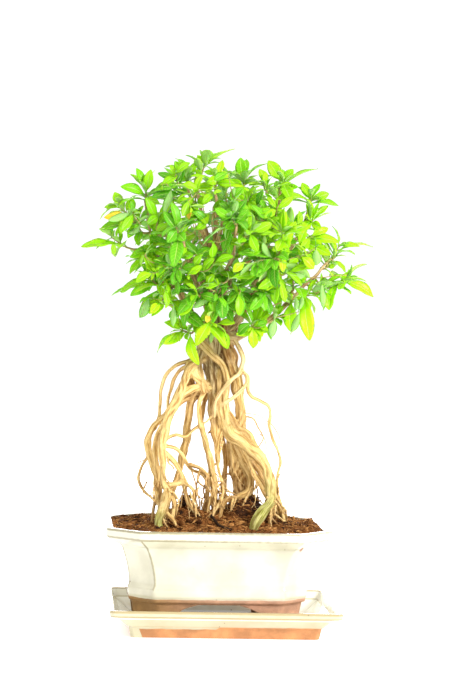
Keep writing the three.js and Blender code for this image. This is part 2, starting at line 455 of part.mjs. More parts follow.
function flareInset(t) {
  return LIP_INSET + (WAIST_INSET - LIP_INSET) * (1 - (1 - t) ** FLARE_POWER);
}

function potOutside() {
  const rings = [potRing(POT_TOP - RIM_ROUND, 0), potRing(BAND_Z, BAND_INSET), potRing(LIP_Z, LIP_INSET)];
  for (let i = 1; i <= FLARE_STEPS; i++) {
    const t = i / FLARE_STEPS;
    rings.push(potRing(lerp(LIP_Z, WAIST_Z, t), flareInset(t)));
  }
  BEAD_TO_FOOT.forEach(([z, inset]) => rings.push(potRing(z, inset)));
  return rings.reverse();
}

function archCutter(arch, reach) {
  const outline = new THREE.Shape();
  arch.forEach(([half, z], i) => (i === 0 ? outline.moveTo(-half, z) : outline.lineTo(-half, z)));
  [...arch].reverse().forEach(([half, z]) => outline.lineTo(half, z));
  const cutter = new THREE.ExtrudeGeometry(outline, { depth: 2 * reach, bevelEnabled: false });
  return cutter.rotateX(Math.PI / 2).translate(0, reach, 0);
}

function potGeometry() {
  const [, footInset] = BEAD_TO_FOOT.at(-1);
  const [, ledgeInset] = BEAD_TO_FOOT.at(-2);
  const recess = [potRing(POT_UNDERSIDE_Z, ledgeInset, FOOT_WALL), potRing(POT_FOOT_Z, footInset, FOOT_WALL)];
  const outside = potOutside();
  const rimTop = [potRing(POT_TOP, RIM_ROUND), potRing(POT_TOP, 0, POT_INSIDE[0][2] - RIM_ROUND)];
  const inside = POT_INSIDE.map(([z, inset, wall]) => potRing(z, inset, wall));
  const rings = [...recess, ...outside, ...rimTop, ...inside];
  let pot = solidOf(loft(rings, V(0, 0, POT_UNDERSIDE_Z), V(0, 0, POT_FLOOR_Z)));
  pot = pot.subtract(solidOf(archCutter(LONG_ARCH, POT_WIDTH)));
  pot = pot.subtract(solidOf(archCutter(SHORT_ARCH, POT_LENGTH).rotateZ(Math.PI / 2)));
  for (const x of [-DRAIN_X, DRAIN_X]) {
    const drill = new THREE.CylinderGeometry(DRAIN_RADIUS, DRAIN_RADIUS, POT_FLOOR_Z, DRAIN_SIDES);
    pot = pot.subtract(solidOf(drill.rotateX(Math.PI / 2).translate(x, 0, POT_FLOOR_Z)));
  }
  return geometryOfSolid(pot);
}

function trayRing(z, inset) {
  return cutRectangle(TRAY_LENGTH / 2 - inset, TRAY_WIDTH / 2 - inset, TRAY_CORNER, z);
}

function trayGeometry() {
  const rings = [...TRAY_OUTSIDE, ...TRAY_INSIDE].map(([z, inset]) => trayRing(z, inset));
  return loft(rings, V(0, 0, 0), V(0, 0, TRAY_FLOOR_Z));
}

function drainMeshGeometry() {
  let sheet = solidOf(new THREE.BoxGeometry(MESH_SIZE, MESH_SIZE, MESH_THICK));
  const first = (-(MESH_HOLES - 1) / 2) * MESH_PITCH;
  for (let i = 0; i < MESH_HOLES; i++) {
    for (let j = 0; j < MESH_HOLES; j++) {
      const punch = new THREE.BoxGeometry(MESH_HOLE, MESH_HOLE, 2 * MESH_THICK);
      sheet = sheet.subtract(solidOf(punch.translate(first + i * MESH_PITCH, first + j * MESH_PITCH, 0)));
    }
  }
  return geometryOfSolid(sheet);
}

function soilHeight(x, y) {
  let z = SOIL_LEVEL;
  for (const hump of SOIL_HUMPS) {
    z += hump.rise * Math.exp(-(((x - hump.x) / hump.wide) ** 2) - ((y - hump.y) / hump.deep) ** 2);
  }
  for (const ripple of SOIL_RIPPLES) z += ripple.rise * Math.sin(x * ripple.alongX + y * ripple.alongY);
  return z;
}

function soilGeometry(rootSolids) {
  const walls = POT_INSIDE.map(([z, inset, wall]) => potRing(z, inset, wall + GAP)).reverse();
  walls[0].forEach((corner) => corner.setZ(SOIL_FLOOR_Z));
  const top = POT_TOP + SOIL_HEADROOM;
  const ceiling = walls.at(-1).map((corner) => corner.clone().setZ(top));
  const filling = solidOf(loft([...walls, ceiling], V(0, 0, SOIL_FLOOR_Z), V(0, 0, top)));
  const columns = Math.round(POT_LENGTH / SOIL_GRID);
  const rows = Math.round(POT_WIDTH / SOIL_GRID);
  const relief = new THREE.BoxGeometry(POT_LENGTH, POT_WIDTH, POT_TOP, columns, rows, 1);
  const corners = relief.attributes.position;
  for (let i = 0; i < corners.count; i++) {
    if (corners.getZ(i) > 0) corners.setZ(i, soilHeight(corners.getX(i), corners.getY(i)));
    else corners.setZ(i, 0);
  }
  const soil = filling.intersect(solidOf(relief)).simplify(SOIL_DETAIL).subtract(rootSolids);
  const pieces = soil.decompose().sort((a, b) => b.volume() - a.volume());
  return geometryOfSolid(pieces[0]);
}

// Wood

function sidesFor(thickness) {
  if (thickness > SIX_SIDED) return 6;
  return thickness > FIVE_SIDED ? 5 : 4;
}

// A frame across a tangent, with its normal as near to a given one as it can be.
function frameAcross(centre, tangent, near) {
  const normal = near.clone().addScaledVector(tangent, -near.dot(tangent)).normalize();
  return { centre, tangent, normal, side: tangent.clone().cross(normal) };
}

function firstNormal(tangent) {
  return Math.abs(tangent.x) > LEVEL_TANGENT ? V(0, 1, 0) : V(1, 0, 0);
}

// Frames carried along a curve without twist.
function framesAlong(curve, stations) {
  let normal = firstNormal(curve.getTangent(0));
  return stations.map((t) => {
    const frame = frameAcross(curve.getPoint(t), curve.getTangent(t), normal);
    normal = frame.normal;
    return frame;
  });
}

function curveThrough(points) {
  return new THREE.CatmullRomCurve3(points, false, "catmullrom", CURVE_TENSION);
}

function ringAround(frame, radius, sides, turn = 0) {
  return Array.from({ length: sides }, (unused, i) => {
    const angle = turn + (2 * Math.PI * i) / sides;
    return frame.centre.clone()
      .addScaledVector(frame.normal, radius * Math.cos(angle))
      .addScaledVector(frame.side, radius * Math.sin(angle));
  });
}

class Limb {
  constructor(points) {
    this.curve = curveThrough(points.map(seen));
    this.thicknesses = points.map((point) => point[3]);
  }

  thicknessAt(t) {
    const place = t * (this.thicknesses.length - 1);
    const i = Math.min(Math.floor(place), this.thicknesses.length - 2);
    return lerp(this.thicknesses[i], this.thicknesses[i + 1], place - i);
  }

  // Where a ring is needed: both ends, each bend and each change of thickness.
  stations() {
    const spots = this.curve.points;
    const last = spots.length - 1;
    const kept = [0];
    for (let i = 1; i < last; i++) {
      const before = spots[kept.at(-1)];
      const bend = spots[i].clone().sub(before).angleTo(spots[i + 1].clone().sub(spots[i]));
      const thinner = Math.abs(this.thicknesses[i] - this.thicknesses[kept.at(-1)]);
      if (bend > RING_BEND || thinner > RING_CHANGE || spots[i].distanceTo(before) > RING_STEP) kept.push(i);
    }
    return [...kept, last].map((i) => i / last);
  }

  solid(extra = 0) {
    const sides = sidesFor(Math.max(...this.thicknesses));
    const frames = framesAlong(this.curve, this.stations());
    frames[0].centre.addScaledVector(frames[0].tangent, -extra);
    frames.at(-1).centre.addScaledVector(frames.at(-1).tangent, extra);
    const radii = this.stations().map((t) => this.thicknessAt(t) / 2 + extra);
    const rings = radii.map((radius, i) => ringAround(frames[i], radius, sides));
    return solidOf(loft(rings, frames[0].centre, frames.at(-1).centre));
  }

  // Short straight stretches, for measuring how near a point is.
  stretches() {
    const count = 2 * (this.thicknesses.length - 1);
    return Array.from({ length: count }, (unused, i) => ({
      from: this.curve.getPoint(i / count),
      to: this.curve.getPoint((i + 1) / count),
      radius: this.thicknessAt((i + 0.5) / count) / 2,
    }));
  }
}

function limbsOf(table) {
  return Object.fromEntries(Object.entries(table).map(([name, points]) => [name, new Limb(points)]));
}

const roots = limbsOf(ROOTS);
const branches = limbsOf(BRANCHES);
const limbs = [...Object.values(roots), ...Object.values(branches)];

const wood = wasm.Manifold.union(limbs.map((limb) => limb.solid())).simplify(WOOD_DETAIL);
const bothSides = new THREE.MeshBasicMaterial({ side: THREE.DoubleSide });
const woodMesh = new THREE.Mesh(geometryOfSolid(wood), bothSides);

// How far a limb's bark stands before some points on a plane through its centre line.
function barkReach(points, way, radius) {
  const caster = new THREE.Raycaster();
  caster.far = 2 * radius + BARK_SEARCH;
  const reaches = points.map((point) => {
    caster.set(point.clone().addScaledVector(way, -radius), way);
    const hits = caster.intersectObject(woodMesh);
    return hits.length ? hits.at(-1).distance - radius : 0;
  });
  return Math.max(...reaches);
}

function grownRoots() {
  return wasm.Manifold.union(Object.values(roots).map((limb) => limb.solid(ROOT_HOLE_GAP)));
}

// Leafy sprays

function makeRandom(seed) {
  let state = seed >>> 0;
  const draw = () => {
    state = (Math.imul(state, 1664525) + 1013904223) >>> 0;
    return state / 4294967296;
  };
  draw();
  draw();
  return draw;
}

function byChance([least, more], random) {
  return least + more * random();
}

// A leaf's half width along its length, as a share of the greatest: a short stalk, then a long oval.
function leafOutline(s) {
  if (s >= 1) return 0;
  const blade = Math.max(0, (s - STALK_SHARE) / (1 - STALK_SHARE));
  const stalk = STALK_WIDTH * Math.min(1, TIP_NARROWING * (1 - s));
  return Math.max(stalk, Math.sin(Math.PI * blade ** OUTLINE_SKEW) ** OUTLINE_FULLNESS);
}

class Leaf {
  constructor(root, tip, facing, halfWidth, arch, stations) {
    this.root = root;
    this.along = tip.clone().sub(root);
    this.length = this.along.length();
    this.along.divideScalar(this.length);
    this.normal = facing.clone().addScaledVector(this.along, -facing.dot(this.along)).normalize();
    this.across = this.normal.clone().cross(this.along);
    this.halfWidth = halfWidth;
    this.arch = arch;
    this.stations = stations;
  }

  // The point at a share of the length, a share of the half width and a height over the blade.
  point(s, c, height) {
    const half = this.halfWidth * leafOutline(s);
    const lift = 4 * this.arch * s * (1 - s) + LEAF_FOLD * Math.abs(c) * half + height;
    return this.root.clone()
      .addScaledVector(this.along, s * this.length)
      .addScaledVector(this.across, c * half)
      .addScaledVector(this.normal, lift);
  }

  ring(s) {
    const half = LEAF_THICK / 2;
    return [this.point(s, 1, 0), this.point(s, 0, half), this.point(s, -1, 0), this.point(s, 0, -half)];
  }

  samples() {
    const spots = [];
    for (const s of SPOTS_ALONG) {
      for (const c of SPOTS_ACROSS) spots.push(this.point(s, c, 0));
    }
    spots.push(this.point(1, 0, 0));
    return spots;
  }

  holds(spot, margin) {
    const q = spot.clone().sub(this.root);
    const s = q.dot(this.along) / this.length;
    if (s < 0 || s > 1) return false;
    const c = Math.abs(q.dot(this.across));
    const half = this.halfWidth * leafOutline(s);
    if (c > half + margin) return false;
    const middle = 4 * this.arch * s * (1 - s) + LEAF_FOLD * Math.min(c, half);
    return Math.abs(q.dot(this.normal) - middle) < margin + LEAF_THICK / 2;
  }
}

function nearStretch(spot, stretch, margin) {
  const run = stretch.to.clone().sub(stretch.from);
  const t = THREE.MathUtils.clamp(spot.clone().sub(stretch.from).dot(run) / run.lengthSq(), 0, 1);
  return stretch.from.clone().addScaledVector(run, t).distanceTo(spot) < stretch.radius + margin;
}

// Points all over a twig's cut end: its middle, its corners, and the middles of its sides and spokes.
function spotsAcross(centre, way, turn) {
  const corners = ringAround(frameAcross(centre, way, firstNormal(way)), TWIG_THICK / 2, TWIG_SIDES, turn);
  const sides = corners.map((corner, i) => corner.clone().lerp(corners[(i + 1) % TWIG_SIDES], 0.5));
  const spokes = [...corners, ...sides].map((corner) => corner.clone().lerp(centre, 0.5));
  return [centre, ...corners, ...sides, ...spokes];
}

class Twig {
  constructor([branchName, at, tip, pairs, tone, shown], index) {
    const branch = branches[branchName];
    const foot = branch.curve.getPoint(at);
    const run = branch.curve.getTangent(at);
    this.tip = seen(tip);
    this.pairs = pairs;
    this.tone = tone;
    this.shown = shown;
    this.random = makeRandom(LEAF_SEED + SEED_STEP * index);
    const way = this.tip.clone().sub(foot);
    const out = at === 1 ? run : way.clone().addScaledVector(run, -way.dot(run)).normalize();
    const turn = Math.PI * this.random();
    const clear = at === 1 ? 0 : barkReach(spotsAcross(foot, out, turn), out, branch.thicknessAt(at) / 2);
    const start = foot.clone().addScaledVector(out, clear + GAP);
    const length = start.distanceTo(this.tip);
    const zone = Math.min(pairs * PAIR_SPACING, LEAFY_SHARE * length);
    const end = this.tip.clone().sub(start).normalize().addScaledVector(UP, TWIG_UPTURN).normalize();
    const elbow = start.clone().addScaledVector(out, ELBOW_SHARE * length + ELBOW_MORE);
    const neck = this.tip.clone().addScaledVector(end, -zone);
    this.curve = curveThrough([start, elbow, neck, this.tip]);
    const stations = [0, TWIG_BEND];
    for (let i = 0; i <= pairs; i++) stations.push((2 + i / pairs) / 3);
    this.frames = framesAlong(this.curve, stations);
    this.rings = this.frames.map((frame, i) => {
      const thickness = lerp(TWIG_THICK, TWIG_TIP_THICK, i / (stations.length - 1));
      return ringAround(frame, thickness / 2, TWIG_SIDES, turn);
    });
    this.leaves = [];
  }

  stretches() {
    return this.frames.slice(1).map((frame, i) => ({
      from: this.frames[i].centre,
      to: frame.centre,
      radius: TWIG_THICK / 2,
    }));
  }

  // The places where leaves grow, lowest pair first: a face of the twig, its middle and the way it looks.
  seats() {
    const seats = [];
    const first = this.frames.length - 1 - this.pairs;
    for (let pair = 0; pair < this.pairs; pair++) {
      for (const face of pair % 2 === 0 ? [0, 2] : [1, 3]) {
        const low = this.rings[first + pair];
        const high = this.rings[first + pair + 1];
        const next = (face + 1) % TWIG_SIDES;
        const middle = low[face].clone().add(low[next]).add(high[face]).add(high[next]).multiplyScalar(0.25);
        const axis = this.frames[first + pair].tangent;
        const above = this.frames[first + pair + 1].centre;
        const centre = this.frames[first + pair].centre.clone().lerp(above, 0.5);
        const out = middle.clone().sub(centre);
        out.addScaledVector(axis, -out.dot(axis)).normalize();
        seats.push({ pair, face, ring: first + pair, middle, out, axis });
      }
    }
    return seats;
  }

  geometry() {
    const bud = this.tip.clone().addScaledVector(this.frames.at(-1).tangent, TWIG_BUD);
    const points = [...this.rings.flat(), this.frames[0].centre, bud];
    const ringAt = (r) => Array.from({ length: TWIG_SIDES }, (unused, i) => r * TWIG_SIDES + i);
    const start = points.length - 2;
    const end = points.length - 1;
    const faces = fanFaces([...ringAt(0)].reverse(), start);
    const taken = new Map(this.leaves.map((leaf) => [leaf.seat.ring * TWIG_SIDES + leaf.seat.face, leaf]));
    for (let r = 0; r + 1 < this.rings.length; r++) {
      const band = bandFaces(ringAt(r), ringAt(r + 1));
      for (let face = 0; face < TWIG_SIDES; face++) {
        const leaf = taken.get(r * TWIG_SIDES + face);
        if (!leaf) {
          faces.push(band[2 * face], band[2 * face + 1]);
          continue;
        }
        const next = (face + 1) % TWIG_SIDES;
        const seat = [ringAt(r)[face], ringAt(r)[next], ringAt(r + 1)[next], ringAt(r + 1)[face]];
        addLeaf(points, faces, seat, leaf.leaf);
      }
    }
    faces.push(...fanFaces(ringAt(this.rings.length - 1), end));
    return geometryOf(points, faces);
  }
}

// Grows a leaf's skin out of the four corners of its seat.
function addLeaf(points, faces, seat, leaf) {
  let from = seat;
  leaf.stations.forEach((s, step) => {
    const ring = leaf.ring(s);
    let shift = 0;
    if (step === 0) {
      const spread = [0, 1, 2, 3].map((turn) =>
        ring.reduce((sum, point, i) => sum + point.distanceTo(points[seat[(i + turn) % 4]]), 0));
      shift = spread.indexOf(Math.min(...spread));
      from = ring.map((point, i) => seat[(i + shift) % 4]);
    }
    const to = ring.map((point, i) => points.length + i);
    points.push(...ring);
    faces.push(...bandFaces(from, to));
    from = to;
  });
  points.push(leaf.point(1, 0, 0));
  faces.push(...fanFaces(from, points.length - 1));
}

const twigs = SPRAYS.map((spray, index) => new Twig(spray, index));
const woodStretches = limbs.flatMap((limb) => limb.stretches());

function crossesStretch(leaf, spots, stretch) {
  if (spots.some((spot) => nearStretch(spot, stretch, WOOD_MARGIN))) return true;
  const middle = stretch.from.clone().lerp(stretch.to, 0.5);
  return [stretch.from, middle, stretch.to].some((point) => leaf.holds(point, stretch.radius + WOOD_MARGIN));
}

function clashes(leaf, twig) {
  const spots = leaf.samples();
  const middle = leaf.point(0.5, 0, 0);
  const reach = leaf.length + LONGEST_STRETCH;
  const nearWood = woodStretches.filter((s) => s.from.distanceTo(middle) < reach);
  if (nearWood.some((s) => crossesStretch(leaf, spots, s))) return true;
  for (const other of twigs) {
    if (other !== twig) {
      const near = other.stretches().filter((s) => s.from.distanceTo(middle) < reach);
      if (near.some((s) => crossesStretch(leaf, spots, s))) return true;
    }
    const margin = other === twig ? SAME_SPRAY_MARGIN : OTHER_SPRAY_MARGIN;
    for (const { leaf: placed } of other.leaves) {
      if (placed.root.distanceTo(leaf.root) > placed.length + leaf.length + margin) continue;
      if (spots.some((spot) => placed.holds(spot, margin))) return true;
      if (placed.samples().some((spot) => leaf.holds(spot, margin))) return true;
    }
  }
  return false;
}

// A leaf of the front view: it reaches a given tip, and turns edge on as far as it looks narrow. Those at the
// crown's outline have a finer outline of their own.
function shownLeaf(seat, [across, up, depth, width], random) {
  const tip = seen([across, up, depth]);
  const along = tip.clone().sub(seat.middle);
  const length = along.length();
  const full = Math.max(width, Math.min(WIDEST_LEAF, LEAF_WIDTH_SHARE * length));
  const sight = EYE.clone().sub(tip).normalize();
  along.normalize();
  const face = sight.clone().addScaledVector(along, -sight.dot(along)).normalize();
  const rise = along.clone().cross(face);
  if (rise.z < 0) rise.negate();
  const lean = Math.acos(Math.min(1, width / full));
  const facing = face.multiplyScalar(Math.cos(lean)).addScaledVector(rise, Math.sin(lean));
  const arch = LEAF_ARCH * length * byChance(SHOWN_ARCH_SHARES, random);
  const stations = depth < INNER_DEPTH ? LEAF_STATIONS : OUTER_LEAF_STATIONS;
  return new Leaf(seat.middle, tip, facing, full / 2, arch, stations);
}

function growShown(twig, seats) {
  for (const spec of twig.shown) {
    const tip = seen(spec);
    const reach = (seat) => tip.clone().sub(seat.middle).normalize().dot(seat.out);
    const free = seats.filter((seat) => !seat.used).sort((a, b) => reach(b) - reach(a));
    if (!free.length) break;
    const seat = free[0];
    for (const shift of DEPTH_SHIFTS) {
      const [across, up, depth, width] = spec;
      const leaf = shownLeaf(seat, [across, up, depth + shift, width], twig.random);
      if (!clashes(leaf, twig)) {
        seat.used = true;
        twig.leaves.push({ seat, leaf });
        break;
      }
    }
  }
}

// A leaf by rule: low pairs are long and spread wide, the top pair is short and stands up.
function ruledLeaf(seat, pairs, random) {
  const height = pairs > 1 ? seat.pair / (pairs - 1) : LONE_PAIR_HEIGHT;
  const rise = lerp(...LEAF_RISE, height) + RISE_CHANCE * (random() - 0.5);
  const swing = SWING_CHANCE * (random() - 0.5);
  const side = seat.axis.clone().cross(seat.out);
  const along = seat.out.clone().multiplyScalar(Math.cos(rise))
    .addScaledVector(seat.axis, Math.sin(rise))
    .addScaledVector(side, swing)
    .addScaledVector(UP, -LEAF_DROOP)
    .normalize();
  const length = lerp(LEAF_LENGTH, LEAF_TIP_LENGTH, height) * byChance(LENGTH_SHARES, random);
  const tip = seat.middle.clone().addScaledVector(along, length);
  const tilt = TILT_CHANCE * (random() - 0.5);
  const facing = UP.clone().addScaledVector(seat.axis, LEAN_ALONG_TWIG).addScaledVector(side, tilt);
  const half = 0.5 * LEAF_WIDTH_SHARE * length * byChance(WIDTH_SHARES, random);
  const arch = LEAF_ARCH * length * byChance(RULED_ARCH_SHARES, random);
  return new Leaf(seat.middle, tip, facing, half, arch, LEAF_STATIONS);
}

function growRuled(twig, seats) {
  for (const seat of seats.filter((each) => !each.used)) {
    for (let attempt = 0; attempt < RULED_ATTEMPTS; attempt++) {
      const leaf = ruledLeaf(seat, twig.pairs, twig.random);
      if (!clashes(leaf, twig)) {
        seat.used = true;
        twig.leaves.push({ seat, leaf });
        break;
      }
    }
  }
}

function growLeaves() {
  const seatsOf = twigs.map((twig) => twig.seats());
  twigs.forEach((twig, i) => growShown(twig, seatsOf[i]));
  twigs.forEach((twig, i) => growRuled(twig, seatsOf[i]));
}

// Materials

const glaze = new THREE.MeshStandardMaterial({ color: 0xf2eddc, roughness: 0.2, metalness: 0 });
const trayGlaze = new THREE.MeshStandardMaterial({ color: 0xf2e9c4, roughness: 0.22, metalness: 0 });
const meshPlastic = new THREE.MeshStandardMaterial({ color: 0x2a2d2b, roughness: 0.6, metalness: 0 });
const peat = new THREE.MeshStandardMaterial({ color: 0x5e3419, roughness: 0.95, metalness: 0 });
const bark = new THREE.MeshStandardMaterial({ color: 0xc9a05c, roughness: 0.8, metalness: 0 });
const leafMaterials = Object.fromEntries(Object.entries(TONES).map(([tone, color]) =>
  [tone, new THREE.MeshStandardMaterial({ color, roughness: 0.4, metalness: 0 })]));

// The scene

const bonsai = new THREE.Group();

function place(parent, name, geometry, material) {
  const mesh = new THREE.Mesh(geometry, material);
  mesh.name = name;
  parent.add(mesh);
  return mesh;
}

const traySet = new THREE.Group();
traySet.position.x = TRAY_SHIFT;
traySet.rotation.z = TRAY_TURN;
bonsai.add(traySet);
place(traySet, "tray", trayGeometry(), trayGlaze);

place(bonsai, "pot", potGeometry(), glaze);
[-DRAIN_X, DRAIN_X].forEach((x, i) => {
  const sheet = place(bonsai, `drain_mesh_${i + 1}`, drainMeshGeometry(), meshPlastic);
  sheet.position.set(x, 0, POT_FLOOR_Z + GAP + MESH_THICK / 2);
});
place(bonsai, "soil", soilGeometry(grownRoots()), peat);
place(bonsai, "wood", woodMesh.geometry, bark);

growLeaves();
twigs.forEach((twig, i) => {
  const name = `spray_${String(i + 1).padStart(2, "0")}`;
  place(bonsai, name, twig.geometry(), leafMaterials[twig.tone]);
});

export default bonsai;
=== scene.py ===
# %% [markdown]
# # A serissa bonsai in its pot
#
# The frame brings the measured bonsai: a drip tray, a pot with cut corners, soil, the wood with its bare
# roots, and leafy sprays, one for each twig. This lesson dresses it. Each cell builds one thing a
# photograph shows: glazed stoneware, damp soil, fluted roots, glossy leaves. Lengths are in millimetres
# until a mesh is made.

# %% Frame
import json
import math

import bpy
import numpy as np
from mathutils import Matrix


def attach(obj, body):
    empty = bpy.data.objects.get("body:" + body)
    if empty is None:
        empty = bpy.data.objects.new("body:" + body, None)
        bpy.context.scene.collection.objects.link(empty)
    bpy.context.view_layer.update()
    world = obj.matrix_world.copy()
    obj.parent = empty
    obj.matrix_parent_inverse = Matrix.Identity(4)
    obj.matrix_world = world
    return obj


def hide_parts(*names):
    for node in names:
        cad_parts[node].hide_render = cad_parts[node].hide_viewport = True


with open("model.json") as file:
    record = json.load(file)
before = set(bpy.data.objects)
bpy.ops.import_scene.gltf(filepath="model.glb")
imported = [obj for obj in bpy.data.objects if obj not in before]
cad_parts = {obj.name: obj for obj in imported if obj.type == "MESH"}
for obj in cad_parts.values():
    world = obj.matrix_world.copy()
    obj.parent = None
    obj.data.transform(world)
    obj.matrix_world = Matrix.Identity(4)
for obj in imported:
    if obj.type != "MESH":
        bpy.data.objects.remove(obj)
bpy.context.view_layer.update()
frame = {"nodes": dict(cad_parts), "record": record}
MM = 0.001

# %% [markdown]
# ## Camera
#
# The camera stands two metres in front, a little to the left and almost level, with a long lens. Its
# numbers were found from the corners of the pot and the tray.

# %% Camera
CAMERA_PLACE = np.array([-163.8, -2043.9, 319.65])
CAMERA_YAW = 0.082
CAMERA_PITCH = -0.028
CAMERA_ROLL = 0.025
CAMERA_LENS = 121.79
LONG_SIDE_SENSOR = 36
CAMERA_SEES_TO = 20000


def aimed_camera():
    """A camera turned first round the vertical, then up or down, then about its own line of sight."""
    forward = np.array([
        math.sin(CAMERA_YAW) * math.cos(CAMERA_PITCH),
        math.cos(CAMERA_YAW) * math.cos(CAMERA_PITCH),
        math.sin(CAMERA_PITCH),
    ])
    level = np.array([math.cos(CAMERA_YAW), -math.sin(CAMERA_YAW), 0])
    over = np.cross(level, forward)
    right = level * math.cos(CAMERA_ROLL) + over * math.sin(CAMERA_ROLL)
    top = over * math.cos(CAMERA_ROLL) - level * math.sin(CAMERA_ROLL)
    lens = bpy.data.cameras.new("bonsai_camera")
    lens.sensor_fit = "AUTO"
    lens.sensor_width = LONG_SIDE_SENSOR
    lens.lens = CAMERA_LENS
    lens.clip_end = CAMERA_SEES_TO * MM
    camera = bpy.data.objects.new("bonsai_camera", lens)
    bpy.context.scene.collection.objects.link(camera)
    turned = Matrix((right, top, -forward)).transposed().to_4x4()
    turned.translation = CAMERA_PLACE * MM
    camera.matrix_world = turned
    return camera


bpy.context.scene.camera = aimed_camera()
print("camera", round(float(np.linalg.norm(CAMERA_PLACE)) * MM, 2), "m from the pot")

# %% [markdown]
# ## Helpers for shape
#
# Meshes are gathered in heaps: points, four-sided and three-sided faces, and named values on the points
# that the materials read later.

# %% Heaps of faces
ZERO = np.zeros(3)
UP = np.array([0.0, 0.0, 1.0])


class Heap:
    """Points and faces of one piece, with values on its points."""

    def __init__(self, *names):
        self.points = []
        self.quads = []
        self.triangles = []
        self.values = {name: [] for name in names}
        self.count = 0

    def add(self, points, quads=(), triangles=(), **values):
        points = np.asarray(points, float)
        self.points.append(points)
        self.quads.append(np.asarray(quads, int).reshape(-1, 4) + self.count)
        self.triangles.append(np.asarray(triangles, int).reshape(-1, 3) + self.count)
        for name, kept in self.values.items():
            kept.append(np.broadcast_to(values.get(name, 0.0), (len(points),)))
        self.count += len(points)

    def piece(self, name):
        values = {key: np.concatenate(kept) for key, kept in self.values.items()}
        arrays = (np.vstack(part) for part in (self.points, self.quads, self.triangles))
        return mesh_piece(name, *arrays, **values)


def write_value(mesh, name, value):
    """Stores one number or one triple of numbers on each point of a mesh."""
    value = np.asarray(value, np.float32)
    if value.ndim == 1:
        mesh.attributes.new(name, "FLOAT", "POINT").data.foreach_set("value", value)
    else:
        mesh.attributes.new(name, "FLOAT_VECTOR", "POINT").data.foreach_set("vector", value.ravel())


def mesh_piece(name, points, quads=(), triangles=(), **values):
    """One mesh object from points in millimetres."""
    quads = np.asarray(quads, np.int32).reshape(-1, 4)
    triangles = np.asarray(triangles, np.int32).reshape(-1, 3)
    mesh = bpy.data.meshes.new(name)
    mesh.vertices.add(len(points))
    mesh.vertices.foreach_set("co", (np.asarray(points, float) * MM).astype(np.float32).ravel())
    corners = np.concatenate([quads.ravel(), triangles.ravel()])
    mesh.loops.add(len(corners))
    mesh.loops.foreach_set("vertex_index", corners)
    starts = np.concatenate([4 * np.arange(len(quads)), 4 * len(quads) + 3 * np.arange(len(triangles))])
    mesh.polygons.add(len(starts))
    mesh.polygons.foreach_set("loop_start", starts.astype(np.int32))
    mesh.update(calc_edges=True)
    mesh.shade_smooth()
    for key, value in values.items():
        write_value(mesh, key, value)
    piece = bpy.data.objects.new(name, mesh)
    bpy.context.scene.collection.objects.link(piece)
    return piece


def points_of(mesh):
    """The points of a mesh in metres."""
    points = np.empty(3 * len(mesh.vertices), np.float32)
    mesh.vertices.foreach_get("co", points)
    return points.reshape(-1, 3)


def triangle_count(piece):
    return sum(len(face.vertices) - 2 for face in piece.data.polygons)


def band_faces(rings, sides):
    """Quads between rings that follow each other, numbered ring after ring."""
    ring = np.arange(rings - 1)[:, None] * sides
    side = np.arange(sides)[None, :]
    after = (side + 1) % sides
    faces = [ring + side, ring + after, ring + sides + after, ring + sides + side]
    return np.stack(faces, axis=-1).reshape(-1, 4)


def fan_faces(first, sides, apex, flip=False):
    side = np.arange(sides)
    fan = np.stack([first + side, first + (side + 1) % sides, np.full(sides, apex)], axis=1)
    return fan[:, ::-1] if flip else fan


def add_loft(heap, rings, start, end, **values):
    """A closed body: rings one after another, and a fan to a point at each end."""
    count, sides = len(rings), len(rings[0])
    points = np.vstack([np.reshape(rings, (-1, 3)), start, end])
    caps = np.vstack([
        fan_faces(0, sides, count * sides, flip=True),
        fan_faces((count - 1) * sides, sides, count * sides + 1),
    ])
    heap.add(points, band_faces(count, sides), caps, **values)


def unit(vectors):
    return vectors / np.maximum(np.linalg.norm(vectors, axis=-1, keepdims=True), 1e-9)


print("helpers ready")

# %% [markdown]
# Curves pass through their given points, as the measured ones do. Frames are carried along them without
# twist, and a smooth random field gives all things their unevenness.

# %% Curves and random fields
# The place the photograph was taken from, as the tables of limbs use it.
SIGHT_FROM = np.array([-164.0, -2044.0, 320.0])
# Large odd numbers that mix a cell's place and a seed, and two stirs: how far to shift, and by what to
# multiply.
MIX_X, MIX_Y, MIX_Z, MIX_SEED = 73856093, 19349663, 83492791, 2654435
STIRS = [(13, 1274126177), (15, 668265263)]
LOW_BITS = 0x7FFFFFFF
LEVEL_TANGENT = 0.8


# The photograph was read, enlarged once over the roots and once over the crown. Each reading gives
# the millimetres of one step, how far it is turned, and the corner where it starts: across and up.
ROOTS_READ = (0.1145, 0.00286, -81.0, 257.8)
CROWN_READ = (0.1718, 0.0043, -130.4, 436.3)


def read_off(right, down, reading):
    """Across and up, in whole millimetres, of a place that was read off the photograph."""
    step, turn, left, top = reading
    return round(left + step * right + turn * down), round(top + turn * right - step * down)


def seen(across, up, depth):
    """A point of the front view, carried along the line of sight to its depth."""
    flat = np.array([across, 0.0, up])
    return SIGHT_FROM + (flat - SIGHT_FROM) * (1 - depth / SIGHT_FROM[1])


def along_curve(knots, shares):
    """Points on the smooth curve through some knots, at shares of the way along."""
    knots = np.asarray(knots, float)
    last = len(knots) - 1
    padded = np.vstack([2 * knots[0] - knots[1], knots, 2 * knots[-1] - knots[-2]])
    place = np.asarray(shares, float) * last
    i = np.minimum(place.astype(int), last - 1)
    w = (place - i)[:, None]
    before, here, there, beyond = (padded[i + k] for k in range(4))
    start = 0.5 * (there - before)
    end = 0.5 * (beyond - here)
    square = -3 * here + 3 * there - 2 * start - end
    cube = 2 * here - 2 * there + start + end
    return here + start * w + square * w**2 + cube * w**3


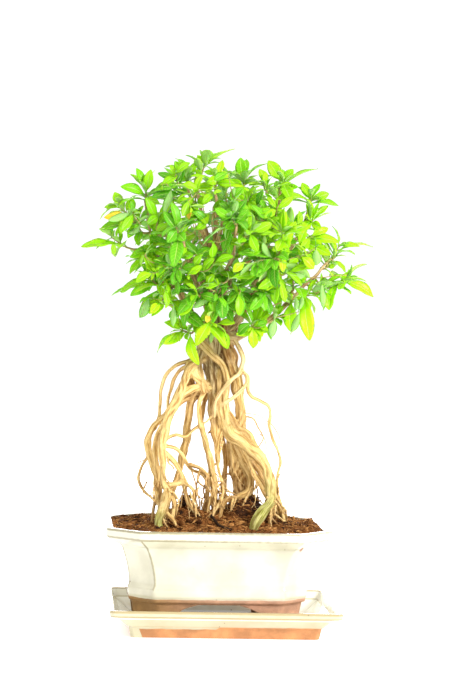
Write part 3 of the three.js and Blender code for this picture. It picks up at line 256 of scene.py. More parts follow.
def carried_frames(centres):
    """The direction, the normal and the side at each point of a path."""
    tangents = unit(np.gradient(centres, axis=0))
    sideways = abs(tangents[0][0]) > LEVEL_TANGENT
    normal = np.array([0.0, 1.0, 0.0] if sideways else [1.0, 0.0, 0.0])
    normals = np.empty_like(tangents)
    for i, tangent in enumerate(tangents):
        normal = unit(normal - normal.dot(tangent) * tangent)
        normals[i] = normal
    return tangents, normals, np.cross(tangents, normals)


def add_tube(heap, centres, radii, sides, **values):
    tangents, normals, across = carried_frames(centres)
    angles = 2 * np.pi * np.arange(sides) / sides
    cos, sin = np.cos(angles)[:, None], np.sin(angles)[:, None]
    spokes = cos * normals[:, None] + sin * across[:, None]
    rings = centres[:, None] + np.asarray(radii)[:, None, None] * spokes
    add_loft(heap, rings, centres[0], centres[-1], **values)


def lattice_noise(points, seed):
    """A smooth random field between -1 and 1 that changes over a distance of 1."""
    points = np.asarray(points, float)
    cell = np.floor(points).astype(np.int64)
    part = points - cell
    ease = part * part * (3 - 2 * part)
    total = np.zeros(len(points))
    for corner in np.ndindex(2, 2, 2):
        x, y, z = (cell + corner).T
        mixed = (x * MIX_X) ^ (y * MIX_Y) ^ (z * MIX_Z) ^ (seed * MIX_SEED)
        for shift, factor in STIRS:
            mixed = ((mixed ^ (mixed >> shift)) * factor) & LOW_BITS
        weight = np.prod(np.where(corner, ease, 1 - ease), axis=1)
        total += weight * ((mixed >> 7) & 0xFFFF) / 0x7FFF
    return total - 1


def layered_noise(points, layers):
    """Random fields added up, each with its height, its size and its seed."""
    return sum(height * lattice_noise(points / size, seed) for height, size, seed in layers)


probe = lattice_noise(np.random.default_rng(3).uniform(-9, 9, (2000, 3)), 0)
print("random field from", round(float(probe.min()), 2), "to", round(float(probe.max()), 2))

# %% [markdown]
# ## Pot
#
# The pot is a loft of eight-cornered rings. Its profile is the measured one with softened bends, its
# corners carry the raised seams that the mould left, and four low arches are cut through the foot.

# %% Pot profile
POT_LENGTH = 200
POT_WIDTH = 160
RIM_CUT = 29
BODY_CUT = 21.6
POT_TOP = 95
RIM_ROUND = 0.6
BAND_Z = 87
BAND_INSET = 0.4
LIP_Z = 79
LIP_INSET = 14
WAIST_Z = 46
WAIST_INSET = 21.7
FLARE_POWER = 1.75
FLARE_STEPS = 12
POT_FOOT_Z = 7.8
POT_UNDERSIDE_Z = 33.2
POT_FLOOR_Z = 39.5
FOOT_TOP_INSET = 24.3
FOOT_INSET = 27.8
FOOT_WALL = 8
RIM_WALL = 7
# Height, and how far in from the rim's outside.
BEAD_TO_SHOULDER = [(42, 20.4), (34.8, 20.7), (34.4, 21.2), (30.4, 21.6), (29.8, FOOT_TOP_INSET)]
# Height, how far in, and the wall.
POT_INSIDE = [
    (POT_TOP - RIM_ROUND, 0, RIM_WALL), (88, BAND_INSET, 8), (LIP_Z, LIP_INSET, 6.5), (62, 19, 6.5),
    (POT_FLOOR_Z, 21.5, 7),
]
RING_SPACING = 1.15
POT_SOFTNESS = 0.9
# Points along each side, from the right end on: an end, a cut corner, a long side, a cut corner, and again.
POT_SIDE_POINTS = [26, 10, 36, 10] * 2
CORNER_POINTS = 5
CORNER_ROUND = 3.2


def soft_profile(stations, spacing, softness):
    """The profile with points evenly along it and its bends rounded."""
    stations = np.asarray(stations, float)
    flat = np.column_stack([stations[:, 0], stations[:, 1:].sum(axis=1)])
    along = np.concatenate([[0], np.cumsum(np.linalg.norm(np.diff(flat, axis=0), axis=1))])
    spots = np.linspace(0, along[-1], int(along[-1] / spacing))
    even = np.column_stack([np.interp(spots, along, column) for column in stations.T])
    reach = np.exp(-(((spots[:, None] - spots[None, :]) / softness) ** 2))
    soft = reach @ even / reach.sum(axis=1, keepdims=True)
    soft[[0, -1]] = even[[0, -1]]
    return soft


def eight_corners(half_length, half_width, cut):
    a, b = half_length, half_width
    return np.array([
        (a, -b + cut), (a, b - cut), (a - cut, b), (-a + cut, b),
        (-a, b - cut), (-a, -b + cut), (-a + cut, -b), (a - cut, -b),
    ])


def rounded_ring(corners, z, corner_round, side_points):
    """A ring with rounded corners, and how far each of its points is from the nearest corner."""
    points, distances = [], []
    for i, corner in enumerate(corners):
        before = unit(corners[i - 1] - corner)
        after = unit(corners[(i + 1) % len(corners)] - corner)
        for t in np.linspace(0, 1, CORNER_POINTS):
            start = corner + before * corner_round
            end = corner + after * corner_round
            points.append(start * (1 - t) ** 2 + corner * 2 * t * (1 - t) + end * t**2)
            distances.append(abs(2 * t - 1) * corner_round)
        nearest = corners[(i + 1) % len(corners)]
        start = corner + after * corner_round
        end = nearest - after * corner_round
        length = np.linalg.norm(nearest - corner)
        for t in np.arange(1, side_points[i]) / side_points[i]:
            points.append(start * (1 - t) + end * t)
            away = corner_round + t * (length - 2 * corner_round)
            distances.append(min(away, length - away))
    return np.column_stack([points, np.full(len(points), z)]), np.array(distances)


def pot_cut(inset, wall):
    body = min(1, inset / LIP_INSET)
    return RIM_CUT + (BODY_CUT - RIM_CUT) * body - (2 - math.sqrt(2)) * wall


def pot_ring(z, inset, wall=0):
    away = inset + wall
    corners = eight_corners(POT_LENGTH / 2 - away, POT_WIDTH / 2 - away, pot_cut(inset, wall))
    return rounded_ring(corners, z, CORNER_ROUND, POT_SIDE_POINTS)


flare = [
    (LIP_Z + (WAIST_Z - LIP_Z) * t, LIP_INSET + (WAIST_INSET - LIP_INSET) * (1 - (1 - t) ** FLARE_POWER), 0)
    for t in np.arange(1, FLARE_STEPS + 1) / FLARE_STEPS
]
pot_stations = [
    (POT_UNDERSIDE_Z, FOOT_TOP_INSET, FOOT_WALL), (POT_FOOT_Z, FOOT_INSET, FOOT_WALL),
    (POT_FOOT_Z, FOOT_INSET, 0),
    *((z, inset, 0) for z, inset in reversed(BEAD_TO_SHOULDER)),
    *reversed(flare), (LIP_Z, LIP_INSET, 0), (BAND_Z, BAND_INSET, 0), (POT_TOP - RIM_ROUND, 0, 0),
    (POT_TOP, 0, RIM_ROUND), (POT_TOP, 0, RIM_WALL - RIM_ROUND), *POT_INSIDE,
]
pot_profile = soft_profile(pot_stations, RING_SPACING, POT_SOFTNESS)
print("rings round the pot:", len(pot_profile))

# %% [markdown]
# A seam stands up where two mould faces met, and the glaze lies thinner over every convex bend. The darkening
# that this gives grows towards the left, as painted shade. The bend is measured on the profile itself and
# kept on the points, so that the material can darken it.

# %% Pot body
SEAM_HEIGHT = 0.9
SEAM_WIDTH = 1.5
SEAM_SPAN = (40, 87)
# A station with a thinner wall than this lies on the outside.
OUTER_WALL = 0.3
SHARP_BEND = 0.35
# Height, size and seed of each wave that hand work left.
POT_WAVER = [(0.28, 34, 1), (0.14, 11, 2)]
# How much the bends and seams are darkened, growing towards the left as painted shade: at the middle, less
# for each millimetre to the right, and at the least.
LEFT_SHADE_MIDDLE, LEFT_SHADE_SLOPE, LEFT_SHADE_LEAST = 0.55, 1 / 150, 0.2
LONG_ARCH = [(39, 6.8), (37, 17), (32, 24), (18, 28.8)]
SHORT_ARCH = [(24, 6.8), (22.5, 17), (19, 24), (10, 28.8)]
DRAIN_RADIUS = 6.5
DRAIN_X = 38
DRILL_SPAN = (25.0, 45.0)
DRILL_SIDES = 48
ARCH_POINTS = 13


def convexity(profile):
    """How sharply a profile bends outwards, between 0 and 1."""
    flat = np.column_stack([profile[:, 0], -profile[:, 1:].sum(axis=1)])
    way = unit(np.gradient(flat, axis=0))
    turn = np.gradient(way, axis=0)
    bend = way[:, 1] * turn[:, 0] - way[:, 0] * turn[:, 1]
    return np.clip(bend / SHARP_BEND, -1, 1)


def outward(rings):
    """The horizontal way out at each point of a stack of rings."""
    around = np.roll(rings, -1, axis=1) - np.roll(rings, 1, axis=1)
    return unit(np.stack([around[..., 1], -around[..., 0], np.zeros(around.shape[:2])], axis=-1))


def drilled(piece, cutters):
    """The piece with some closed bodies taken out of it."""
    for cutter in cutters:
        cut = piece.modifiers.new(cutter.name, "BOOLEAN")
        cut.operation = "DIFFERENCE"
        cut.object = cutter
        cut.solver = "EXACT"
    solid = bpy.data.meshes.new_from_object(piece.evaluated_get(bpy.context.evaluated_depsgraph_get()))
    piece.modifiers.clear()
    piece.data = solid
    for cutter in cutters:
        bpy.data.objects.remove(cutter)
    return piece


def arch_cutter(name, outline, reach, along_y):
    """A bar with an arch for its section: the side's points, mirrored, with a rounded crown."""
    half = along_curve([(x, 0, z) for x, z in outline], np.linspace(0, 1, ARCH_POINTS))[:, [0, 2]]
    section = np.vstack([half * (-1, 1), half[::-1]])
    rings = []
    x, z = section.T
    for end in (-reach, reach):
        run = np.full(len(section), end)
        rings.append(np.column_stack([x, run, z] if along_y else [run, x, z]))
    if not along_y:
        rings.reverse()
    bar = Heap()
    add_loft(bar, rings, *(ring.mean(axis=0) for ring in rings))
    return bar.piece(name)


def drain_drill(name, x):
    drill = Heap()
    add_tube(drill, np.array([(x, 0.0, z) for z in DRILL_SPAN]), [DRAIN_RADIUS, DRAIN_RADIUS], DRILL_SIDES)
    return drill.piece(name)


def turned_out(piece):
    """Makes every face of a closed body look out."""
    points = points_of(piece.data)
    volume = 0.0
    for face in piece.data.polygons:
        corners = points[list(face.vertices)]
        for i in range(1, len(corners) - 1):
            volume += np.dot(corners[0], np.cross(corners[i], corners[i + 1]))
    if volume < 0:
        piece.data.flip_normals()
    return piece


def build_pot():
    laid = [pot_ring(*station) for station in pot_profile]
    rings = np.array([points for points, away in laid])
    away = np.array([distances for points, distances in laid])
    out = outward(rings)
    height, outer = pot_profile[:, 0], pot_profile[:, 2] < OUTER_WALL
    seamed = outer & (height > SEAM_SPAN[0]) & (height < SEAM_SPAN[1])
    fade = np.convolve(seamed.astype(float), np.ones(5) / 5, mode="same")[:, None]
    seam = np.exp(-((away / SEAM_WIDTH) ** 2)) * fade
    waver = layered_noise(rings.reshape(-1, 3), POT_WAVER).reshape(seam.shape)
    rings = rings + out * (SEAM_HEIGHT * seam + waver * outer[:, None])[..., None]
    # Painted shade: the darkening of bends and seams grows towards the pot's left.
    left_shade = np.clip(LEFT_SHADE_MIDDLE - LEFT_SHADE_SLOPE * rings[..., 0], LEFT_SHADE_LEAST, 1)
    bend = np.maximum(convexity(pot_profile)[:, None] * (0.45 + 0.4 * left_shade), 0.85 * seam * left_shade)
    pot = Heap("thin_glaze")
    thin = np.concatenate([bend.ravel(), [0, 0]])
    add_loft(pot, rings, (0, 0, POT_UNDERSIDE_Z), (0, 0, POT_FLOOR_Z), thin_glaze=thin)
    return pot.piece("pot_glazed")


pot = turned_out(build_pot())
cutters = [
    arch_cutter("arch_front_to_back", LONG_ARCH, POT_WIDTH, True),
    arch_cutter("arch_side_to_side", SHORT_ARCH, POT_LENGTH, False),
    drain_drill("drain_left", -DRAIN_X),
    drain_drill("drain_right", DRAIN_X),
]
drilled(pot, [turned_out(cutter) for cutter in cutters])
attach(pot, "root")
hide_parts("pot")
print("pot triangles:", triangle_count(pot))

# %% [markdown]
# ## Drip tray
#
# The tray stands a little turned and off centre under the pot. Its wall leans out and ends in a flat rim.

# %% Tray
TRAY_LENGTH = 204
TRAY_WIDTH = 155
TRAY_CORNER = 3
TRAY_SHIFT = 6.9
TRAY_TURN = -0.013
TRAY_FLOOR_Z = 7.5
# Height, and how far in from the rim's outside.
TRAY_OUTSIDE = [(0, 19), (9.6, 17), (10, 15.6), (14, 11.5), (19.2, 6), (19.7, 0.9), (24.6, 0), (25.5, 0.8)]
TRAY_INSIDE = [(25.5, 3.6), (24, 4.6), (18, 7), (13, 14), (TRAY_FLOOR_Z, 21)]
TRAY_SIDE_POINTS = [30, 3, 40, 3] * 2
TRAY_CORNER_ROUND = 1.3
TRAY_RING_SPACING = 0.9
TRAY_SOFTNESS = 0.65
TRAY_WAVER = [(0.22, 30, 5), (0.12, 9, 6)]
# The underside stays flat, and the waver is full from this height on.
WAVER_FROM_Z = 4
# A wall thin enough to move no ring, that tells the inside's stations from the outside's.
INSIDE_MARK = 1e-3


def tray_ring(z, inset):
    corners = eight_corners(TRAY_LENGTH / 2 - inset, TRAY_WIDTH / 2 - inset, TRAY_CORNER)
    return rounded_ring(corners, z, TRAY_CORNER_ROUND, TRAY_SIDE_POINTS)


def build_tray():
    stations = [(z, inset, 0) for z, inset in TRAY_OUTSIDE]
    stations += [(z, inset, INSIDE_MARK) for z, inset in TRAY_INSIDE]
    profile = soft_profile(stations, TRAY_RING_SPACING, TRAY_SOFTNESS)
    profile[0, 0] = 0
    rings = np.array([tray_ring(z, inset)[0] for z, inset, inner in profile])
    outer_face = np.append(np.repeat(profile[:, 2] < INSIDE_MARK / 2, rings.shape[1]), [1, 0])
    flat = rings.reshape(-1, 3)
    waver = layered_noise(flat, TRAY_WAVER) * np.clip(flat[:, 2] / WAVER_FROM_Z, 0, 1)
    rings = rings + outward(rings) * waver.reshape(rings.shape[:2])[..., None]
    thin = np.append(np.repeat(convexity(profile), rings.shape[1]), [0, 0])
    cos, sin = math.cos(TRAY_TURN), math.sin(TRAY_TURN)
    turn = np.array([(cos, sin, 0), (-sin, cos, 0), (0, 0, 1)])
    rings = rings @ turn + (TRAY_SHIFT, 0, 0)
    tray = Heap("thin_glaze", "outer_face")
    add_loft(tray, rings, (TRAY_SHIFT, 0, 0), (TRAY_SHIFT, 0, TRAY_FLOOR_Z),
             thin_glaze=np.maximum(thin, 0), outer_face=outer_face.astype(float))
    return tray.piece("drip_tray")


tray = turned_out(build_tray())
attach(tray, "root")
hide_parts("tray")
print("tray triangles:", triangle_count(tray))

# %% [markdown]
# ## Soil
#
# The soil stands in low mounds at the ends of the roots, with dark clods of peat in them. Its top is a
# height field with fine grain, and on it lie bark chips, fibres and crumbs, and one short dark stick.

# %% Soil bed
SOIL_FLOOR_Z = 41.1
SOIL_LEVEL = 94.3
SOIL_SKIRT_Z = 89
SOIL_CELL = 1.15
SOIL_GAP = 0.3
SOIL_HUMPS = [(5, 0, 4, 62, 46), (-29, -2, 14, 19, 24), (26, 0, 18, 24, 28)]
SOIL_RIPPLES = [(0.7, 0.137, 0.164), (0.5, 0.256, -0.19)]
SOIL_GRAIN = [(1.3, 7, 11), (1.1, 2.9, 12), (0.5, 1.4, 13)]
# Dark clods of peat that stand in the mounds: middle, rise and spread.
PEAT_CLODS = [
    (-28, -4, 8, 6, 6), (22, -4, 5, 8, 8), (31, -2, 6, 9, 9), (27, -15, 4, 14, 11), (55, -22, 4, 6, 7),
]
CLOD_DARK_FROM = 3
DRY_SHADE = 0.45
CLOD_DARKER = 0.28
BLOCK_SHADE = 0.3
# How far the soil has sunk in the middle and near the wall, and how wide that strip is.
SOIL_SINK = (0.48, 1.6)
SINK_STRIP = 6
POT_WALL_OVERLAP = 2
# The block under the bed: height, how far in, and the wall.
BLOCK_TOP_Z = SOIL_SKIRT_Z + 0.2
SOIL_BLOCK = [(SOIL_FLOOR_Z, 21.4, 7), *POT_INSIDE[3:1:-1], (BLOCK_TOP_Z, *POT_INSIDE[1][1:])]


def soil_height(x, y):
    z = np.full(np.shape(x), float(SOIL_LEVEL))
    for middle_x, middle_y, rise, wide, deep in SOIL_HUMPS:
        z += rise * np.exp(-(((x - middle_x) / wide) ** 2) - ((y - middle_y) / deep) ** 2)
    for rise, along_x, along_y in SOIL_RIPPLES:
        z += rise * np.sin(x * along_x + y * along_y)
    return z


def clod_height(x, y):
    """How far the clods stand up over the mounds, with blunt tops."""
    z = np.zeros(np.shape(x))
    for middle_x, middle_y, rise, wide, deep in PEAT_CLODS:
        z = np.maximum(z, rise * np.exp(-(((x - middle_x) / wide) ** 4) - ((y - middle_y) / deep) ** 4))
    return z


def clod_share(x, y):
    """1 on a clod and 0 beside it, as far as its colour goes."""
    return np.clip(clod_height(x, y) / CLOD_DARK_FROM, 0, 1)


def grainy_height(x, y):
    flat = np.column_stack([np.ravel(x), np.ravel(y), np.zeros(np.size(x))])
    grain = layered_noise(flat, SOIL_GRAIN).reshape(np.shape(x))
    sunk = np.where(inside_wall(x, y, SINK_STRIP), *SOIL_SINK)
    return soil_height(x, y) + clod_height(x, y) + grain - sunk


def inside_wall(x, y, margin):
    """True inside the pot's inner wall at the height of the soil, drawn in by a margin."""
    rim, below = POT_INSIDE[:2]
    inset, wall = (np.interp(SOIL_LEVEL, (below[0], rim[0]), (below[i], rim[i])) for i in (1, 2))
    half_length = POT_LENGTH / 2 - inset - wall - margin
    half_width = POT_WIDTH / 2 - inset - wall - margin
    cut = pot_cut(inset, wall)
    within = (np.abs(x) < half_length) & (np.abs(y) < half_width)
    return within & (np.abs(x) + np.abs(y) < half_length + half_width - cut)


def build_soil():
    counts = [int(size / SOIL_CELL) for size in (POT_LENGTH, POT_WIDTH)]
    x, y = np.meshgrid(*((np.arange(count + 1) - count / 2) * SOIL_CELL for count in counts))
    z = grainy_height(x, y)
    corner = np.arange(x.size).reshape(x.shape)
    cells = np.stack([corner[:-1, :-1], corner[:-1, 1:], corner[1:, 1:], corner[1:, :-1]], axis=-1)
    kept = inside_wall(x[:-1, :-1] + SOIL_CELL / 2, y[:-1, :-1] + SOIL_CELL / 2, -POT_WALL_OVERLAP)
    top = cells[kept]
    points = np.column_stack([x.ravel(), y.ravel(), z.ravel()])
    low = points.copy()
    low[:, 2] = SOIL_SKIRT_Z
    edges = np.vstack([top[:, [i, (i + 1) % 4]] for i in range(4)])
    pairs = {tuple(edge) for edge in edges.tolist()}
    rim = np.array([edge for edge in pairs if edge[::-1] not in pairs])
    skirt = np.stack([rim[:, 1], rim[:, 0], rim[:, 0] + len(points), rim[:, 1] + len(points)], axis=1)
    faces = np.vstack([top, top[:, ::-1] + len(points), skirt])
    used, renumbered = np.unique(faces, return_inverse=True)
    soil = Heap("shade")
    dry = DRY_SHADE - CLOD_DARKER * clod_share(x, y).ravel()
    soil.add(np.vstack([points, low])[used], renumbered.reshape(faces.shape), shade=np.tile(dry, 2)[used])
    rings = [pot_ring(z, inset, wall + SOIL_GAP)[0] for z, inset, wall in SOIL_BLOCK]
    add_loft(soil, rings, (0, 0, SOIL_FLOOR_Z), (0, 0, BLOCK_TOP_Z), shade=BLOCK_SHADE)
    return soil.piece("soil_bed")


soil = build_soil()
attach(soil, "root")
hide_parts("soil")
print("soil triangles:", triangle_count(soil))

# %% [markdown]
# Chips are twenty-faced lumps pulled long and flat. Fibres are thin bent threads. Both lie where chance
# puts them, but thicker on the mounds between the roots.

# %% Bark chips, fibres and crumbs
CHIP_COUNT = 2300
CHIP_MARGIN = 3.5
CHIP_FLATNESS = (0.3, 0.95)
# Least and greatest length, breadth and height, as shares of a chip's size.
CHIP_SHAPE = [(1.1, 0.7, 0.25), (2.8, 1.2, 0.7)]
CHIP_ROUGHNESS = (0.72, 1.22)
LITTER_DARKER = 0.3
FIBRE_COUNT = 1900
FIBRE_MARGIN = 4
FIBRE_LENGTH = (3, 11)
FIBRE_THICK = (0.14, 0.34)
FIBRE_TAPER = np.array([0.4, 1, 0.9, 1, 0.4])
# How far litter spreads: over the whole pot, and round the roots.
POT_SPREAD = (100, 80)
ROOT_SPREAD = (38, 26)
# The stick's ends: across, and depth on the soil.
STICK = [(-6, -18), (0, -44), (8, -67)]
STICK_THICK = 2.6
STICK_POINTS = 12
STICK_LIFT = 1.2
STICK_SHADE = -0.25
GOLDEN = (1 + math.sqrt(5)) / 2
LUMP_POINTS = unit(np.array([
    (-1, GOLDEN, 0), (1, GOLDEN, 0), (-1, -GOLDEN, 0), (1, -GOLDEN, 0), (0, -1, GOLDEN), (0, 1, GOLDEN),
    (0, -1, -GOLDEN), (0, 1, -GOLDEN), (GOLDEN, 0, -1), (GOLDEN, 0, 1), (-GOLDEN, 0, -1), (-GOLDEN, 0, 1),
]))
LUMP_FACES = [
    (0, 11, 5), (0, 5, 1), (0, 1, 7), (0, 7, 10), (0, 10, 11), (1, 5, 9), (5, 11, 4), (11, 10, 2), (10, 7, 6),
    (7, 1, 8), (3, 9, 4), (3, 4, 2), (3, 2, 6), (3, 6, 8), (3, 8, 9), (4, 9, 5), (2, 4, 11), (6, 2, 10),
    (8, 6, 7), (9, 8, 1),
]


def turned_at_random(random, flatness):
    """Three axes: the first lies nearly level, and the third points up as much as the thing lies flat."""
    heading = random.uniform(0, 2 * math.pi)
    first = unit(np.array([math.cos(heading), math.sin(heading), random.normal(0, 0.35)]))
    third = unit(UP * flatness + random.normal(0, 1, 3) * (1 - flatness))
    third = unit(third - third.dot(first) * first)
    return np.array([first, np.cross(third, first), third])


def scattered(random, count, margin):
    """Places on the soil, most of them in the middle where the roots go down."""
    wide = random.uniform(np.negative(POT_SPREAD), POT_SPREAD, (8 * count, 2))
    near = random.normal((0, 0), ROOT_SPREAD, (4 * count, 2))
    places = np.vstack([wide, near])
    random.shuffle(places)
    places = places[inside_wall(places[:, 0], places[:, 1], margin)][:count]
    return np.column_stack([places, grainy_height(places[:, 0], places[:, 1])])


def add_chip(litter, random, place):
    size = 0.45 + random.gamma(2.0, 0.33)
    axes = turned_at_random(random, random.uniform(*CHIP_FLATNESS))
    stretch = size * random.uniform(*CHIP_SHAPE)
    rough = LUMP_POINTS * random.uniform(*CHIP_ROUGHNESS, (len(LUMP_POINTS), 1))
    lump = (rough * stretch) @ axes + place + UP * 0.3 * size
    darker = LITTER_DARKER * float(clod_share(place[0], place[1]))
    litter.add(lump, triangles=LUMP_FACES, shade=random.beta(2, 2.6) - darker)


def add_fibre(litter, random, place):
    length = random.uniform(*FIBRE_LENGTH)
    first, across, over = turned_at_random(random, 0.8)
    bow = random.normal(0, 0.22) * length
    rise = abs(random.normal(0.05, 0.1)) * length
    steps = np.linspace(-0.5, 0.5, len(FIBRE_TAPER))[:, None]
    bent = 1 - 4 * steps**2
    path = place + first * length * steps - across * bow * bent + UP * (0.5 + rise * bent)
    thick = random.uniform(*FIBRE_THICK)
    add_tube(litter, path, thick * FIBRE_TAPER, 3, shade=random.uniform(0.4, 1))


def add_stick(litter, random):
    bends = [(x, y, float(soil_height(x, y)) + STICK_LIFT) for x, y in STICK]
    path = along_curve(bends, np.linspace(0, 1, STICK_POINTS)) + random.normal(0, 0.2, (STICK_POINTS, 3))
    knots = STICK_THICK / 2 * (1 + 0.18 * np.sin(np.arange(STICK_POINTS) * 2.3))
    add_tube(litter, path, knots, 7, shade=STICK_SHADE)


def build_litter():
    random = np.random.default_rng(17)
    litter = Heap("shade")
    for place in scattered(random, CHIP_COUNT, CHIP_MARGIN):
        add_chip(litter, random, place)
    for place in scattered(random, FIBRE_COUNT, FIBRE_MARGIN):
        add_fibre(litter, random, place)
    add_stick(litter, random)
    return litter.piece("soil_litter")


litter = build_litter()
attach(litter, "root")
print("litter triangles:", triangle_count(litter))

# %% [markdown]
# ## Wood
#
# The tables name every limb: how far across, how high, how deep it lies at each bend, and how thick it is.
# The first table has the roots and the strands of the trunk, the second the branches.

